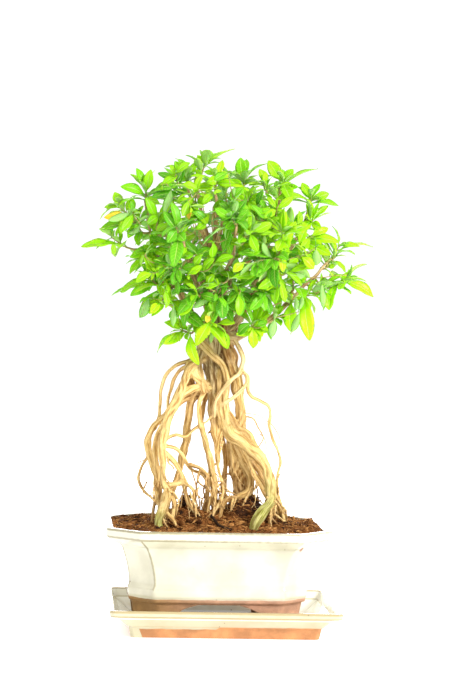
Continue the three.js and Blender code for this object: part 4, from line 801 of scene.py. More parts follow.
# %% Limbs
ROOTS = {
    "trunk": [(-9, 276, 0, 16), (-10, 262, 0, 19), (-8, 248, 0, 18), (-7, 235, 1, 15), (-5, 220, 2, 12),
        (-4, 205, 2, 10), (-5, 190, 1, 8), (-3, 176, -2, 6), (-1, 163, -5, 4.4), (1, 152, -7, 3.4)],
    "trunk_left": [(-18, 258, -4, 7), (-18.5, 245, -7, 5), (-18, 236, -8, 4.5), (-14, 213, -7, 5)],
    "trunk_diagonal": [(-17, 257, -7, 7), (-8, 247, -11, 6.5), (0, 240, -11, 6), (4, 233, -10, 5.5),
        (7, 221, -8, 5), (6, 204, -8, 5), (8, 186, -6, 6)],
    "trunk_right": [(3, 270, 0, 13), (6, 255, -1, 13), (9.5, 245, -1, 12), (12.5, 234, -1, 11),
        (16, 222, -2, 10), (19, 205, -3, 9.5), (20.5, 188, -3, 9), (22, 171, -5, 8)],
    "trunk_back": [(-3, 266, 3, 11), (1, 244, 10, 9), (2, 222, 15, 8), (6, 200, 20, 7), (12, 175, 24, 7),
        (20, 150, 28, 6.5), (27, 124, 31, 6), (32, 104, 33, 5), (33, 94, 34, 4)],
    "centre_strand": [(0, 232, -4, 5), (1, 208, -5, 6), (2, 194, -5, 6.5), (5, 184, -4, 7)],
    "left_arch": [(-11, 245, -3, 8.5), (-20, 239.5, -6, 8.4), (-26.5, 234, -8, 8.2), (-32, 221, -11, 7.4),
        (-38, 207, -13, 7.6), (-43.5, 193, -15, 8.2), (-48, 178, -17, 7.4), (-50, 163, -19, 6.4),
        (-48.5, 147, -21, 6), (-47, 130, -23, 5.8), (-41, 120, -25, 4.6), (-38, 111, -26, 4.2),
        (-39.5, 101, -27, 4), (-40, 92, -27, 3.4)],
    "left_knob": [(-27, 238, -5, 6), (-22, 230, -7, 8), (-18, 224, -6, 7.6), (-12, 216, -2, 6)],
    "left_hollow": [(-28.5, 236, 1, 5.5), (-27.5, 226, 2, 8), (-25, 216, 2, 7.5), (-23, 208, 2, 6)],
    "left_outer_arch": [(-11, 246, 0, 4.4), (-24, 241.5, 1, 4), (-34, 238.5, 3, 3.6), (-42, 234, 5, 3.2),
        (-48.5, 225, 6, 3), (-52.5, 213, 6, 2.9), (-53.5, 200, 4, 2.9), (-53.5, 189, -1, 3.2),
        (-57, 180, -4, 3.6)],
    "left_second_arch": [(-25, 237, -6, 4), (-35, 233, -3, 3.2), (-41.5, 225, -3, 2.9),
        (-44.5, 211, -5, 2.8), (-45.5, 197, -10, 3)],
    "left_arm": [(-8, 217, 0, 7), (-15.5, 216.5, -4, 6.6), (-22, 216, -7, 6.4), (-29, 212.5, -10, 6.4),
        (-36, 207, -12, 6.4), (-41, 199, -13, 6)],
    "left_low_arm": [(-20, 209, 1, 5), (-25, 207.5, 1, 4.8), (-32, 204.5, -4, 4.6), (-41, 197, -11, 4.6)],
    "left_rear": [(-17, 218, -2, 6), (-23.5, 209, 2, 6.6), (-25.5, 199, 3, 6.4), (-27, 187, 6, 7),
        (-28, 176, 7, 8.2), (-29.5, 165, 8, 7.6), (-31, 155, 8, 6.6), (-32.5, 143, 6, 5.8),
        (-37, 131, 2, 5.6), (-41, 121, -3, 5), (-44, 108, -5, 4), (-45, 92, -5, 3.4)],
    "left_outer": [(-46, 194, -13, 5), (-52, 187.5, -8, 4.8), (-58, 180, -4, 5.6), (-62, 171, -1, 6.2),
        (-61.5, 160, 0, 6.4), (-59, 148, -2, 6), (-55.5, 136, -7, 5), (-53.5, 123, -15, 4.2),
        (-52.5, 113, -24, 4), (-46, 105, -33, 3.8), (-39, 98, -40, 3.6), (-36, 92, -43, 3)],
    "left_second": [(-49, 184, -15, 4.6), (-54, 175, -12, 4.8), (-56, 163, -11, 5), (-54.5, 148, -10, 4.8),
        (-52.5, 136, -9, 4.2), (-51, 118, -3, 3.4), (-51, 100, 0, 3.2), (-51, 90, 1, 2.8)],
    "left_far_loop": [(-61, 154, -1, 3), (-66.5, 149, 4, 2.6), (-70, 141, 7, 2.5), (-70.8, 133, 7, 2.5),
        (-67, 125, 3, 2.5), (-61, 119.5, -9, 2.5), (-52, 112, -23, 3)],
    "left_fork": [(-31, 133, -17, 3.6), (-24, 127, -17, 3.2), (-20, 121, -16, 3), (-21.5, 114, -14, 2.8),
        (-26, 104, -11, 2.6), (-29, 91, -10, 2.4)],
    "left_cross": [(-48, 164, -18, 3.6), (-38, 161.5, -14, 3.2), (-31, 155, -10, 3.2), (-27, 147, -7, 3.4),
        (-21.5, 141.5, -5, 3.2), (-13, 139, -4, 3.2), (-8.5, 131, -5, 3), (-7.5, 116, -6, 2.9),
        (-9, 102, -7, 2.6), (-9, 92, -7, 2.4)],
    "left_inner": [(-47, 157, -18, 5), (-41, 151, -18, 4.8), (-34.5, 143.5, -17, 4.8), (-30, 134, -16, 4.6),
        (-28, 123, -15, 4.2), (-24, 112, -15, 3.8), (-18.5, 103, -16, 3.2), (-16.5, 90, -16, 2.8)],
    "left_brown": [(-24, 147, -14, 4), (-16, 144, -9, 3.8), (-10, 140, -7, 3.8), (-6, 134, -6, 3.4),
        (-8, 122, -6, 3), (-12, 108, -5, 2.8), (-13, 92, -5, 2.6)],
    "left_bridge": [(-47, 128, -22, 5), (-38, 129.5, -19, 4.6), (-30, 131, -17, 4.2)],
    "left_green": [(-44, 124, -24, 6.5), (-45, 116, -32, 8.4), (-48, 107, -39, 8.6), (-51, 98, -44, 7.6),
        (-52, 88, -48, 6.4)],
    "left_stub": [(-53, 117, -21, 3.4), (-57, 109, -23, 3), (-58, 99, -23, 2.7), (-58, 91, -23, 2.6)],
    "bridge": [(-46, 170, -16, 3), (-38, 174, -8, 2.8), (-30, 172.5, -3, 2.7), (-23, 178, -3, 2.7),
        (-14.5, 184, -2, 2.8)],
    "hanging": [(-11, 221, 0, 5), (-14, 213, -2, 4), (-17, 204, -3, 4), (-17.5, 195, -3, 4.2),
        (-16.5, 186, -3, 4.4), (-14, 178, -3, 4.6), (-11.2, 170, -3, 4.8), (-8.7, 160.5, -4, 5),
        (-5.6, 151, -4, 5), (-3, 140, -5, 4.6), (-0.8, 131, -6, 4), (-0.5, 119, -6, 3.4), (-1.5, 104, -7, 3),
        (-2, 94, -7, 2.6)],
    "hanging_twin": [(-15, 184, -4, 3), (-13, 176, -6, 3.2), (-9.5, 167, -7, 3.2), (-7, 155, -6, 3.2),
        (-4.5, 143, -8, 3.2), (-2, 131, -10, 3), (-5, 116, -12, 2.8), (-7, 102, -13, 2.6),
        (-7, 92, -13, 2.4)],
    "pale": [(10, 264, -4, 4.4), (17, 252, -8, 4), (20.5, 242, -9, 3.6), (19, 231, -9, 3.2),
        (11, 224, -11, 3), (3, 217, -11, 3), (-2.5, 206, -8, 3.1), (-4, 192, -3, 3.2)],
    "pale_loop": [(20, 233, -8, 3.2), (24.5, 228, -9, 3), (24, 220, -10, 3), (16, 211, -11, 3),
        (8, 205, -11, 3), (2, 201, -6, 3.6)],
    "right_long": [(14, 232, -3, 3.4), (22, 231, -1, 2.9), (26, 226.5, 0, 2.8), (26, 215, 0, 2.8),
        (30.5, 209, 0, 2.7), (39, 205.5, 0, 2.7), (44.5, 202, 0, 2.7), (47, 193, -1, 2.6),
        (46.5, 183, -1, 2.6), (49, 172, -2, 2.6), (54, 161, -4, 2.6), (56.5, 150, -6, 2.6),
        (55, 138, -8, 2.6), (54.5, 126, -10, 2.6), (57, 117, -12, 2.6), (61, 105, -13, 2.5),
        (62.5, 91, -13, 2.3)],
    "right_big": [(-2, 208, 1, 9), (3.5, 197, 0, 12), (8, 185, -2, 14), (13.5, 175.5, -4, 14),
        (22, 169, -6, 12.5), (31.5, 161.5, -9, 11.4), (38.5, 154, -13, 10.6), (43.8, 144, -16, 10),
        (47.5, 134, -20, 9.6), (49.6, 123, -24, 8.4), (49, 114.5, -29, 8.4), (44.5, 109, -35, 9.4),
        (39, 102, -42, 9.8), (35, 94, -48, 8.8), (33.5, 86, -51, 6.5)],
    "right_middle": [(8, 186, 2, 8), (11, 174, 3, 9), (15.5, 163, 3, 8.6), (21, 153, 1, 8),
        (26.5, 145, -1, 7.4), (30.5, 137, -3, 6.6), (31, 129, -6, 6.2), (27, 122.5, -8, 6),
        (19.5, 119, -10, 5.4), (11, 117, -12, 4.4), (6, 109, -13, 3.6), (3.5, 99, -14, 3.2),
        (3.5, 90, -14, 3)],
    "right_brown": [(12, 178, 5, 10), (15, 165, 6, 14), (18, 152, 6, 17), (20.5, 139, 6, 17),
        (23, 125, 5, 15), (22.5, 108, 4, 11), (21, 92, 4, 7)],
    "right_front": [(23, 162, -6, 6), (30, 149, -10, 5.6), (34, 140, -12, 5.5), (39, 131, -15, 5.4),
        (44, 124, -19, 5.2), (47.5, 116, -23, 5.2)],
    "right_cross": [(5, 199, -5, 5), (12.5, 189, -8, 5.4), (18, 182, -8, 5.4), (25, 178, -7, 5.6),
        (31, 171, -8, 5.6), (36, 160, -10, 5.6)],
    "right_thin": [(28.5, 124, -8, 3.6), (26, 115, -12, 3.2), (22.5, 108, -16, 3), (18.5, 101, -19, 2.6),
        (17, 90, -21, 2.4)],
    "middle_thin": [(3, 180, -3, 3.4), (1, 167, -6, 3), (0, 154, -7, 2.8), (1.5, 141, -8, 2.8),
        (6, 126, -10, 2.8), (4, 115, -11, 2.7), (-2, 103, -13, 2.6), (-4, 92, -14, 2.4)],
    "right_bunch": [(50.5, 120, -24, 4.8), (54, 110, -15, 3.6), (56.5, 101, -13, 2.9), (57, 90, -12, 2.6)],
    "right_bunch_outer": [(51, 123, -23, 4.4), (57, 114, -16, 3.4), (60, 104, -17, 2.9), (65, 90, -16, 2.6)],
    "right_fan": [(50.5, 113, -28, 4), (51.5, 106, -30, 3.2), (48.5, 97, -33, 2.9), (47.5, 88, -34, 2.8)],
    "back_left": [(-8, 240, 6, 8), (-8, 224, 15, 6), (-13, 206, 21, 5), (-15, 190, 24, 4.5),
        (-12, 172, 27, 4.4), (-7, 152, 30, 4.4), (-4, 132, 32, 4.2), (-2, 112, 34, 4), (-2, 92, 36, 3.6)],
    "back_middle": [(7, 216, 18, 6), (2, 196, 27, 5.6), (3, 174, 33, 5.2), (8, 152, 38, 5),
        (6, 130, 42, 4.6), (8, 108, 46, 4.2), (8, 92, 48, 3.6)],
    "back_right": [(14, 178, 24, 6), (24, 164, 30, 5.6), (36, 146, 31, 5.2), (46, 124, 28, 4.8),
        (50, 106, 26, 4.4), (51, 92, 25, 4)],
}
BRANCHES = {
    "left": [(-9, 262, 0, 13), (-16, 268, -2, 10), (-24, 276, -5, 8), (-30, 287, -8, 6.6),
        (-38, 300, -10, 5.2), (-48, 314, -10, 4.4), (-57, 329, -8, 3.8), (-63, 345, -6, 3.4),
        (-67, 362, -4, 3), (-70, 379, -2, 2.6)],
    "left_low": [(-30, 287, -8, 4.6), (-38, 289, -14, 3.4), (-45, 296, -15, 3), (-51, 304, -18, 2.6)],
    "crown": [(-8, 268, 2, 16), (-8, 288, 3, 12), (-9, 308, 3, 8.6), (-10, 326, 1, 6.4), (-14, 344, -2, 4.4),
        (-20, 363, -5, 3.6), (-27, 380, -5, 3), (-33, 395, -3, 2.6)],
    "crown_left": [(-9.5, 318, 1, 4.8), (-13, 348, 6, 3.6), (-19, 368, 8, 3.2), (-23, 386, 6, 2.9),
        (-25, 402, 2, 2.6)],
    "crown_middle": [(-10, 322, 1, 5), (-8, 346, -3, 3.8), (-6, 366, -6, 3.2), (-6, 382, -7, 2.9),
        (-8, 394, -7, 2.6)],
    "crown_right": [(-9, 312, 2, 5), (-2, 340, 2, 4), (6, 360, 4, 3.4), (12, 378, 5, 3), (17, 393, 5, 2.6)],
    "right": [(-2, 264, 0, 13), (9, 270, -2, 10.5), (18, 283, -4, 8.4), (25, 297, -5, 7), (31, 312, -5, 5.8),
        (36, 329, -4, 4.8), (41, 347, -3, 4), (45, 365, -2, 3.4), (49, 382, -1, 3), (51, 396, 0, 2.6)],
    "right_low": [(6, 264, -3, 9), (15, 263.5, -5, 7.4), (26, 268, -6, 6), (38, 275, -7, 5),
        (50, 284, -8, 4.2), (61, 296, -8, 3.6), (73, 310, -8, 3.2), (85, 321, -7, 2.9), (94, 331, -5, 2.6)],
    "right_middle": [(30, 310, -5, 4.8), (44, 324, -2, 3.8), (57, 337, 1, 3.4), (67, 352, 2, 3),
        (74, 369, 2, 2.8), (77, 382, 1, 2.6)],
    "back_left": [(-9, 294, 4, 7), (-21, 318, 19, 5), (-33, 338, 32, 4), (-43, 356, 41, 3.4),
        (-50, 370, 46, 2.8)],
    "back_right": [(-5, 292, 5, 7), (12, 317, 20, 5), (28, 338, 34, 4.2), (41, 358, 43, 3.4),
        (49, 374, 48, 2.8)],
    "back": [(-9, 306, 4, 5.6), (-5, 340, 26, 4.2), (-1, 362, 42, 3.4), (2, 380, 50, 2.8)],
    "front_left": [(-11, 284, -1, 6), (-20, 304, -20, 4.2), (-28, 322, -36, 3.4), (-34, 340, -46, 2.8),
        (-37, 352, -50, 2.6)],
    "front": [(-8, 294, 0, 6), (2, 315, -22, 4.2), (8, 333, -40, 3.4), (11, 350, -50, 2.8),
        (12, 362, -54, 2.6)],
    "front_right": [(21, 288, -4, 5.4), (31, 306, -22, 4), (43, 322, -36, 3.2), (52, 338, -45, 2.8),
        (56, 350, -48, 2.6)],
}
print("limbs:", len(ROOTS) + len(BRANCHES))

# %% [markdown]
# Young roots are straw coloured, the trunk is grey brown, and light has turned a few thick ends green. The
# trunk's top and the start of the low left arm are painted darker as shade. Each limb has one tint where it
# starts and one where it ends.

# %% Tints
STRAW = (0.93, 0.66, 0.245)
PALE = (0.95, 0.71, 0.34)
TAN = (0.63, 0.38, 0.115)
GREY = (0.33, 0.225, 0.08)
TRUNK_TOP_PAINTED_SHADE = (0.22, 0.16, 0.055)
RED = (0.42, 0.17, 0.05)
BROWN = (0.3, 0.13, 0.03)
MOSS = (0.36, 0.38, 0.07)
OCHRE = (0.63, 0.42, 0.13)
TWIG_BROWN = (0.64, 0.4, 0.19)
# Where a limb isn't straw coloured: what it is like at its start, at its middle and at its end.
# The trunk's dark start under the crown and the low left arm's brown start are painted shade.
TINTS = {
    "trunk": (TRUNK_TOP_PAINTED_SHADE, GREY, TAN), "trunk_left": (GREY, GREY, TAN), "trunk_diagonal": (OCHRE, OCHRE, STRAW),
    "trunk_right": (RED, OCHRE, TAN), "trunk_back": (GREY, TAN, TAN), "centre_strand": (OCHRE, TAN, STRAW),
    "left_arch": (OCHRE, STRAW, STRAW), "left_knob": (STRAW, STRAW, TAN), "left_hollow": (BROWN, TAN, TAN),
    "left_outer_arch": (TAN, STRAW, STRAW), "left_second_arch": (TAN, TAN, STRAW),
    "left_low_arm": (BROWN, TAN, STRAW), "left_rear": (TAN, OCHRE, TAN), "pale": (PALE, PALE, PALE),
    "pale_loop": (OCHRE, PALE, PALE),
    "right_brown": (STRAW, TAN, BROWN), "right_middle": (STRAW, OCHRE, TAN), "right_cross": (TAN, TAN, STRAW),
    "left_brown": (TAN, TAN, BROWN), "left_fork": (STRAW, TAN, TAN), "left_green": (OCHRE, OCHRE, MOSS),
    "right_big": (OCHRE, STRAW, MOSS), "right_thin": (STRAW, MOSS, TAN), "left_stub": (BROWN, TAN, TAN),
    "back_left": (TAN, TAN, TAN), "back_middle": (TAN, TAN, TAN), "back_right": (TAN, TAN, TAN),
}
BRANCH_TINTS = (GREY, TWIG_BROWN, TWIG_BROWN)
# Deep flutes round these limbs. The others have three or five shallow ones.
FLUTED = {"trunk": 7, "trunk_right": 6, "trunk_back": 6, "right_brown": 7, "crown": 7, "right": 6}
THIN_LIMB = 6
DEEP_FLUTES, SHALLOW_FLUTES = 0.13, 0.08
LIMB_STEP = 1.1
KINK = 1.15
KINK_LENGTH = 11
KINKS_APART = 3.7


class Limb:
    """One root or branch: points and frames along its middle line, and what its bark is like."""

    def __init__(self, name, knots, tints, index):
        self.name = name
        line = np.array([seen(*knot[:3]) for knot in knots])
        length = np.linalg.norm(np.diff(line, axis=0), axis=1).sum()
        shares = np.linspace(0, 1, max(8, int(length / LIMB_STEP)))
        self.centres = along_curve(line, shares)
        apart = np.full((len(shares), 2), KINKS_APART * index)
        spots = np.column_stack([shares * length / KINK_LENGTH, apart])
        kinks = np.column_stack([lattice_noise(spots, 31 + axis) for axis in range(3)])
        self.centres += kinks * KINK * np.sin(np.pi * shares)[:, None] ** 0.5
        thickness = [knot[3] for knot in knots]
        self.radii = np.interp(shares * (len(knots) - 1), np.arange(len(knots)), thickness) / 2
        self.tangents, self.normals, self.across = carried_frames(self.centres)
        steps = np.linalg.norm(np.diff(self.centres, axis=0), axis=1)
        self.along = np.concatenate([[0], np.cumsum(steps)])
        self.step = steps.mean()
        self.tints = np.array(tints)
        self.index = index
        self.flutes = FLUTED.get(name, 3 if max(thickness) < THIN_LIMB else 5)
        self.depth = DEEP_FLUTES if name in FLUTED else SHALLOW_FLUTES


limbs = []
for name, knots in ROOTS.items():
    limbs.append(Limb(name, knots, TINTS.get(name, (STRAW, STRAW, STRAW)), len(limbs)))
for name, knots in BRANCHES.items():
    limbs.append(Limb(name, knots, BRANCH_TINTS, len(limbs)))
print("length of all limbs:", round(sum(limb.along[-1] for limb in limbs) / 1000, 1), "m")

# %% [markdown]
# The wood is one skin. For any point in space the field tells how far it is from the bark of the nearest
# limb, with flutes, swellings and knots along each limb, and with soft joints where limbs have grown
# together. A coarse skin of even squares is laid round all limbs and then drawn onto the place where the
# field is zero.

# %% Field of the bark
FUSE = 0.75
NEAR = 3.2
SLICE = 5000
FAR_AWAY = 1e3
LIMBS_APART = 61.0
SWELL, SWELL_LENGTH = 0.13, 7
WANDER, WANDER_LENGTH = 1.6, 25
STREAKS_PER_MM = (0.75, 0.75, 0.085)
KNOTS_PER_MM = (0.3, 0.3, 0.12)
TINT_STOPS = (0, 0.5, 0.8)


def noise_along(limb, along, length, seed):
    """A number that changes by chance along one limb."""
    still = np.zeros(len(along))
    return lattice_noise(np.column_stack([still, still + limb.index, along / length]), seed)


def limb_field(limb, points):
    """Distance from one limb's bark, grain coordinates, hollowness and tint, for points near it."""
    offsets = points[:, None] - limb.centres[None]
    k = np.argmin(np.einsum("ijk,ijk->ij", offsets, offsets), axis=1)
    offset = points - limb.centres[k]
    run = np.clip(np.einsum("ij,ij->i", offset, limb.tangents[k]), -limb.step / 2, limb.step / 2)
    radial = offset - run[:, None] * limb.tangents[k]
    distance = np.linalg.norm(radial, axis=1)
    sides = [np.einsum("ij,ij->i", radial, axes[k]) for axes in (limb.across, limb.normals)]
    angle = np.arctan2(*sides)
    along = limb.along[k] + run
    radius = np.interp(along, limb.along, limb.radii)
    bark = np.column_stack([np.cos(angle) * radius, np.sin(angle) * radius, along + LIMBS_APART * limb.index])
    swell = SWELL * noise_along(limb, along, SWELL_LENGTH, 21)
    wander = WANDER * noise_along(limb, along, WANDER_LENGTH, 22)
    flute = np.cos(limb.flutes * (angle + wander) + 0.9 * limb.index)
    streak = lattice_noise(bark * STREAKS_PER_MM, 23)
    knot = lattice_noise(bark * KNOTS_PER_MM, 24)
    groove = 0.55 * flute + 0.8 * streak
    lift = limb.depth * radius * groove + (0.12 * radius + 0.14) * knot
    share = np.clip(along / limb.along[-1], 0, 1)
    tint = np.column_stack([np.interp(share, TINT_STOPS, channel) for channel in limb.tints.T])
    return distance - radius * (1 + swell) - lift, bark, groove, tint


def wood_field(points):
    """Distance from the whole wood's bark, with the grain, hollowness and tint there."""
    fused = np.full(len(points), 1e-9)
    nearest = np.full(len(points), FAR_AWAY)
    grain = np.zeros((len(points), 3))
    hollow = np.zeros(len(points))
    tint = np.zeros((len(points), 3))
    for limb in limbs:
        reach = limb.radii.max() * 1.3 + NEAR
        close = (points > limb.centres.min(axis=0) - reach) & (points < limb.centres.max(axis=0) + reach)
        chosen = np.nonzero(close.all(axis=1))[0]
        for part in np.array_split(chosen, len(chosen) // SLICE + 1):
            if not len(part):
                continue
            distance, bark, groove, colour = limb_field(limb, points[part])
            weight = np.exp(-np.clip(distance, -9, 9) / FUSE)
            fused[part] += weight
            tint[part] += weight[:, None] * colour
            winner = distance < nearest[part]
            inner = part[winner]
            nearest[inner] = distance[winner]
            grain[inner] = bark[winner]
            hollow[inner] = -groove[winner]
    return -FUSE * np.log(fused), grain, hollow, tint / fused[:, None]


print("field at the trunk's middle:", round(float(wood_field(np.array([[-8.0, 0.0, 250.0]]))[0][0]), 1), "mm")

# %% Skin of the wood
SKIN_SQUARE = 1.03
DRAWN_TIMES = 3
LONGEST_STEP = 0.7
TUBE_SIDES = 10
TUBE_COVER = 0.15


def coarse_skin():
    """Tubes round all limbs, covered by one skin of even squares."""
    tubes = Heap()
    for limb in limbs:
        add_tube(tubes, limb.centres[::2], limb.radii[::2] + TUBE_COVER, TUBE_SIDES)
    body = tubes.piece("wood_tubes")
    cover = body.modifiers.new("cover", "REMESH")
    cover.mode = "VOXEL"
    cover.voxel_size = SKIN_SQUARE * MM
    soften = body.modifiers.new("soften", "SMOOTH")
    soften.factor = 0.5
    soften.iterations = 3
    mesh = bpy.data.meshes.new_from_object(body.evaluated_get(bpy.context.evaluated_depsgraph_get()))
    bpy.data.objects.remove(body)
    return mesh


def draw_onto_bark(mesh):
    """Moves the skin along its own normals until the field is zero on it."""
    for _ in range(DRAWN_TIMES):
        points = points_of(mesh).astype(float) / MM
        normals = np.empty(3 * len(points), np.float32)
        mesh.vertex_normals.foreach_get("vector", normals)
        distance, grain, hollow, tint = wood_field(points)
        step = np.clip(distance, -LONGEST_STEP, LONGEST_STEP)[:, None] * normals.reshape(-1, 3)
        mesh.vertices.foreach_set("co", ((points - step) * MM).astype(np.float32).ravel())
        mesh.update()
    write_value(mesh, "grain", grain)
    write_value(mesh, "hollow", hollow)
    write_value(mesh, "bark_tint_and_painted_shade", tint)
    return float(np.abs(distance).mean())


skin = coarse_skin()
left_over = draw_onto_bark(skin)
skin.shade_smooth()
wood = bpy.data.objects.new("wood_with_roots", skin)
bpy.context.scene.collection.objects.link(wood)
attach(wood, "root")
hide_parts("wood")
print("wood triangles:", triangle_count(wood), "mean distance left:", round(left_over, 3), "mm")

# %% [markdown]
# Between the roots hang thin ones, some no thicker than a thread. Most leave a limb where chance puts them,
# wander down and end in the soil. Those that a photograph shows one by one have places of their own, as
# seen from the front, and each takes its depth from the bark that it starts on, passes and ends at.

# %% Thin roots
THIN_ROOT_SOURCES = {
    "hanging": 4, "hanging_twin": 4, "middle_thin": 5, "right_middle": 5, "right_brown": 8, "right_thin": 4,
    "left_inner": 3, "left_cross": 4, "left_brown": 3, "left_fork": 3, "left_second": 2, "right_bunch": 4,
    "right_fan": 3, "right_front": 2, "back_middle": 3, "left_green": 3,
}
THIN_ROOT_SPAN = (104, 146)
THIN_ROOT_THICK = (0.4, 1.15)
THIN_ROOT_SIDES = 6
FOOT_SPREAD = (9, 7)
BEND_LENGTH = 9
BEND_SPREAD = np.array([2.2, 1.98, 1.1])
HAIR_TAPER = np.linspace(0.26, 0.1, 6)
# Rootlets as read off the enlarged photograph: how thick, then right and down of each bend.
ROOTLET_READINGS = [
    (15, [(300, 1185), (345, 1205), (378, 1262), (368, 1330), (350, 1400)]),
    (11, [(305, 1195), (330, 1250), (342, 1310), (345, 1385)]),
    (15, [(150, 1215), (190, 1262), (240, 1302), (300, 1340), (350, 1395)]),
    (15, [(215, 1110), (192, 1150), (180, 1205), (192, 1262)]),
    (15, [(470, 1190), (482, 1240), (505, 1300), (515, 1400)]),
    (13, [(500, 1290), (520, 1330), (548, 1395)]),
    (14, [(600, 1060), (590, 1130), (622, 1180), (640, 1240), (655, 1310)]),
    (15, [(640, 1080), (655, 1160), (668, 1240), (655, 1330), (650, 1400)]),
    (15, [(755, 1050), (795, 1070), (830, 1115), (872, 1150)]),
    (17, [(620, 1195), (700, 1140), (760, 1085)]),
    (12, [(750, 1185), (790, 1200), (830, 1215)]),
    (18, [(968, 1150), (925, 1225), (893, 1290), (868, 1340), (830, 1382)]),
    (11, [(905, 1275), (893, 1330), (878, 1360)]),
    (11, [(990, 1150), (1002, 1200), (998, 1265)]),
    (13, [(1030, 1165), (1062, 1215), (1085, 1245)]),
    (15, [(1175, 1060), (1150, 1110), (1163, 1175), (1165, 1235), (1180, 1290)]),
    (20, [(1160, 1250), (1192, 1300), (1225, 1350), (1232, 1425)]),
    (17, [(1115, 1330), (1100, 1395), (1105, 1460)]),
    (13, [(1150, 1300), (1140, 1360), (1130, 1425)]),
    (16, [(640, 715), (685, 765), (725, 790), (745, 830)]),
    (16, [(640, 600), (605, 635), (570, 655)]),
    (13, [(735, 795), (708, 865), (690, 905)]),
    (13, [(720, 740), (715, 800), (700, 870)]),
    (20, [(690, 640), (655, 695), (610, 730)]),
    (11, [(700, 1110), (740, 1125), (755, 1160)]),
    (11, [(700, 1230), (720, 1290), (745, 1330)]),
    (13, [(590, 1090), (600, 1150), (590, 1210), (598, 1275)]),
    (13, [(1080, 1240), (1060, 1290), (1075, 1350)]),
    (17, [(1135, 1265), (1170, 1310), (1200, 1365), (1208, 1430)]),
    (11, [(830, 1240), (815, 1290), (800, 1345)]),
    (13, [(660, 1100), (700, 1180), (690, 1260), (675, 1330)]),
    (11, [(740, 1160), (780, 1200), (760, 1265)]),
    (16, [(290, 900), (300, 960), (330, 990), (345, 1015)]),
    (14, [(425, 1100), (470, 1150), (500, 1210), (490, 1280)]),
    (12, [(780, 1000), (810, 1050), (870, 1100)]),
    (12, [(820, 1040), (860, 1110), (900, 1150)]),
    (15, [(250, 960), (262, 1050), (300, 1120), (320, 1190)]),
    (12, [(130, 1110), (110, 1150), (105, 1190), (140, 1215)]),
    (12, [(540, 1160), (520, 1210), (560, 1250), (565, 1300)]),
    (15, [(940, 1010), (960, 1060), (985, 1110), (1000, 1160)]),
]
ROOTLETS = [
    (round(thick * ROOTS_READ[0], 1), [read_off(*bend, ROOTS_READ) for bend in bends])
    for thick, bends in ROOTLET_READINGS
]
# Lower than this a rootlet ends in the soil.
SOIL_SEEN_TO = 108
DEPTH_CHANGE = 22
FAR_IN_FRONT = 11
BARK_REACH = 4
SOIL_DEPTHS = np.arange(-70, 21)
STEPS_PER_KNOT = 6
TUBE_OF_ROOTLET = 7
# Each hair's radius where it starts, then across, up and depth of its bends.
STANDING_HAIRS = [
    (0.42, [(-63, 152, 0), (-71, 148, 2), (-78, 140, 4), (-82, 130, 4)]),
    (0.85, [(20, 192, -3), (31, 190, -2), (36, 182, -3), (41, 173, -4), (38, 166, -5), (36, 163, -6)]),
    (0.42, [(20, 195, -3), (30, 194, 1), (38, 192, 2), (45, 187, 2)]),
    (0.42, [(38, 176, -4), (42, 172, -3), (44, 163, -6), (43, 153, -8)]),
    (0.42, [(46.5, 187, -1), (52, 180, -1), (56, 172, 0), (54, 163, 1)]),
]


def drawn_through(knots, steps=STEPS_PER_KNOT):
    """The smooth curve through some knots, with so many points for each of them."""
    return along_curve(knots, np.linspace(0, 1, steps * len(knots)))


def laid_out(table):
    """Across, up and the depth of the bark's front all along the limbs of a table."""
    rows = np.vstack([drawn_through(knots, 12) for knots in table.values()])
    return np.column_stack([rows[:, :2], rows[:, 2] - 0.45 * rows[:, 3]])


def depth_on(rows, across, up, wanted=None):
    """The depth of the foremost bark at a place of the front view, or of that nearest to a wanted depth."""
    away = np.hypot(rows[:, 0] - across, rows[:, 1] - up)
    near = away < BARK_REACH
    if not near.any():
        return rows[np.argmin(away), 2]
    depths = rows[near, 2]
    return depths.min() if wanted is None else depths[np.argmin(np.abs(depths - wanted))]


def depth_on_soil(across, up, wanted):
    """The depth where a place of the front view lies on the soil, but not far from the wanted one."""
    points = np.array([seen(across, up, depth) for depth in SOIL_DEPTHS])
    off = np.abs(points[:, 2] - soil_height(points[:, 0], points[:, 1])) + 0.02 * np.abs(SOIL_DEPTHS - wanted)
    return np.clip(SOIL_DEPTHS[np.argmin(off)], wanted - DEPTH_CHANGE, wanted + DEPTH_CHANGE)


def passing_depth(rows, bend, wanted):
    """The depth just in front of the bark there, unless that bark is far in front of the wanted depth."""
    front = depth_on(rows, *bend) - 0.5
    return min(front, wanted) if wanted - front < FAR_IN_FRONT else wanted


def rootlet_path(rows, bends):
    start = depth_on(rows, *bends[0])
    in_soil = bends[-1][1] < SOIL_SEEN_TO
    end = depth_on_soil(*bends[-1], start) if in_soil else depth_on(rows, *bends[-1], start)
    even = np.linspace(start, end, len(bends))
    passing = [passing_depth(rows, bend, depth) for bend, depth in zip(bends, even)]
    depths = [start + 1, *passing[1:-1], end]
    knots = [seen(*bend, depth) for bend, depth in zip(bends, depths)]
    if in_soil:
        knots.append(knots[-1] - UP * 4)
    return drawn_through(knots)


def thin_root_path(random, start):
    foot = start[:2] + random.normal(0, 1, 2) * FOOT_SPREAD
    end = np.array([*foot, float(soil_height(foot[0], foot[1])) - 3])
    bends = max(4, int(np.linalg.norm(end - start) / BEND_LENGTH))
    shares = np.linspace(0, 1, bends)[:, None]
    knots = start * (1 - shares) + end * shares
    knots[1:-1] += random.normal(0, 1, (bends - 2, 3)) * BEND_SPREAD
    return drawn_through(knots, 3)


def add_hair(thin, random, start):
    tip = start + random.normal(0, 5, 3) - UP * 3
    twist = start * 0.5 + tip * 0.5 + random.normal(0, 1.6, 3)
    hair = along_curve([start, twist, tip], np.linspace(0, 1, len(HAIR_TAPER)))
    add_tube(thin, hair, HAIR_TAPER, 4, shade=random.uniform(0, 1))


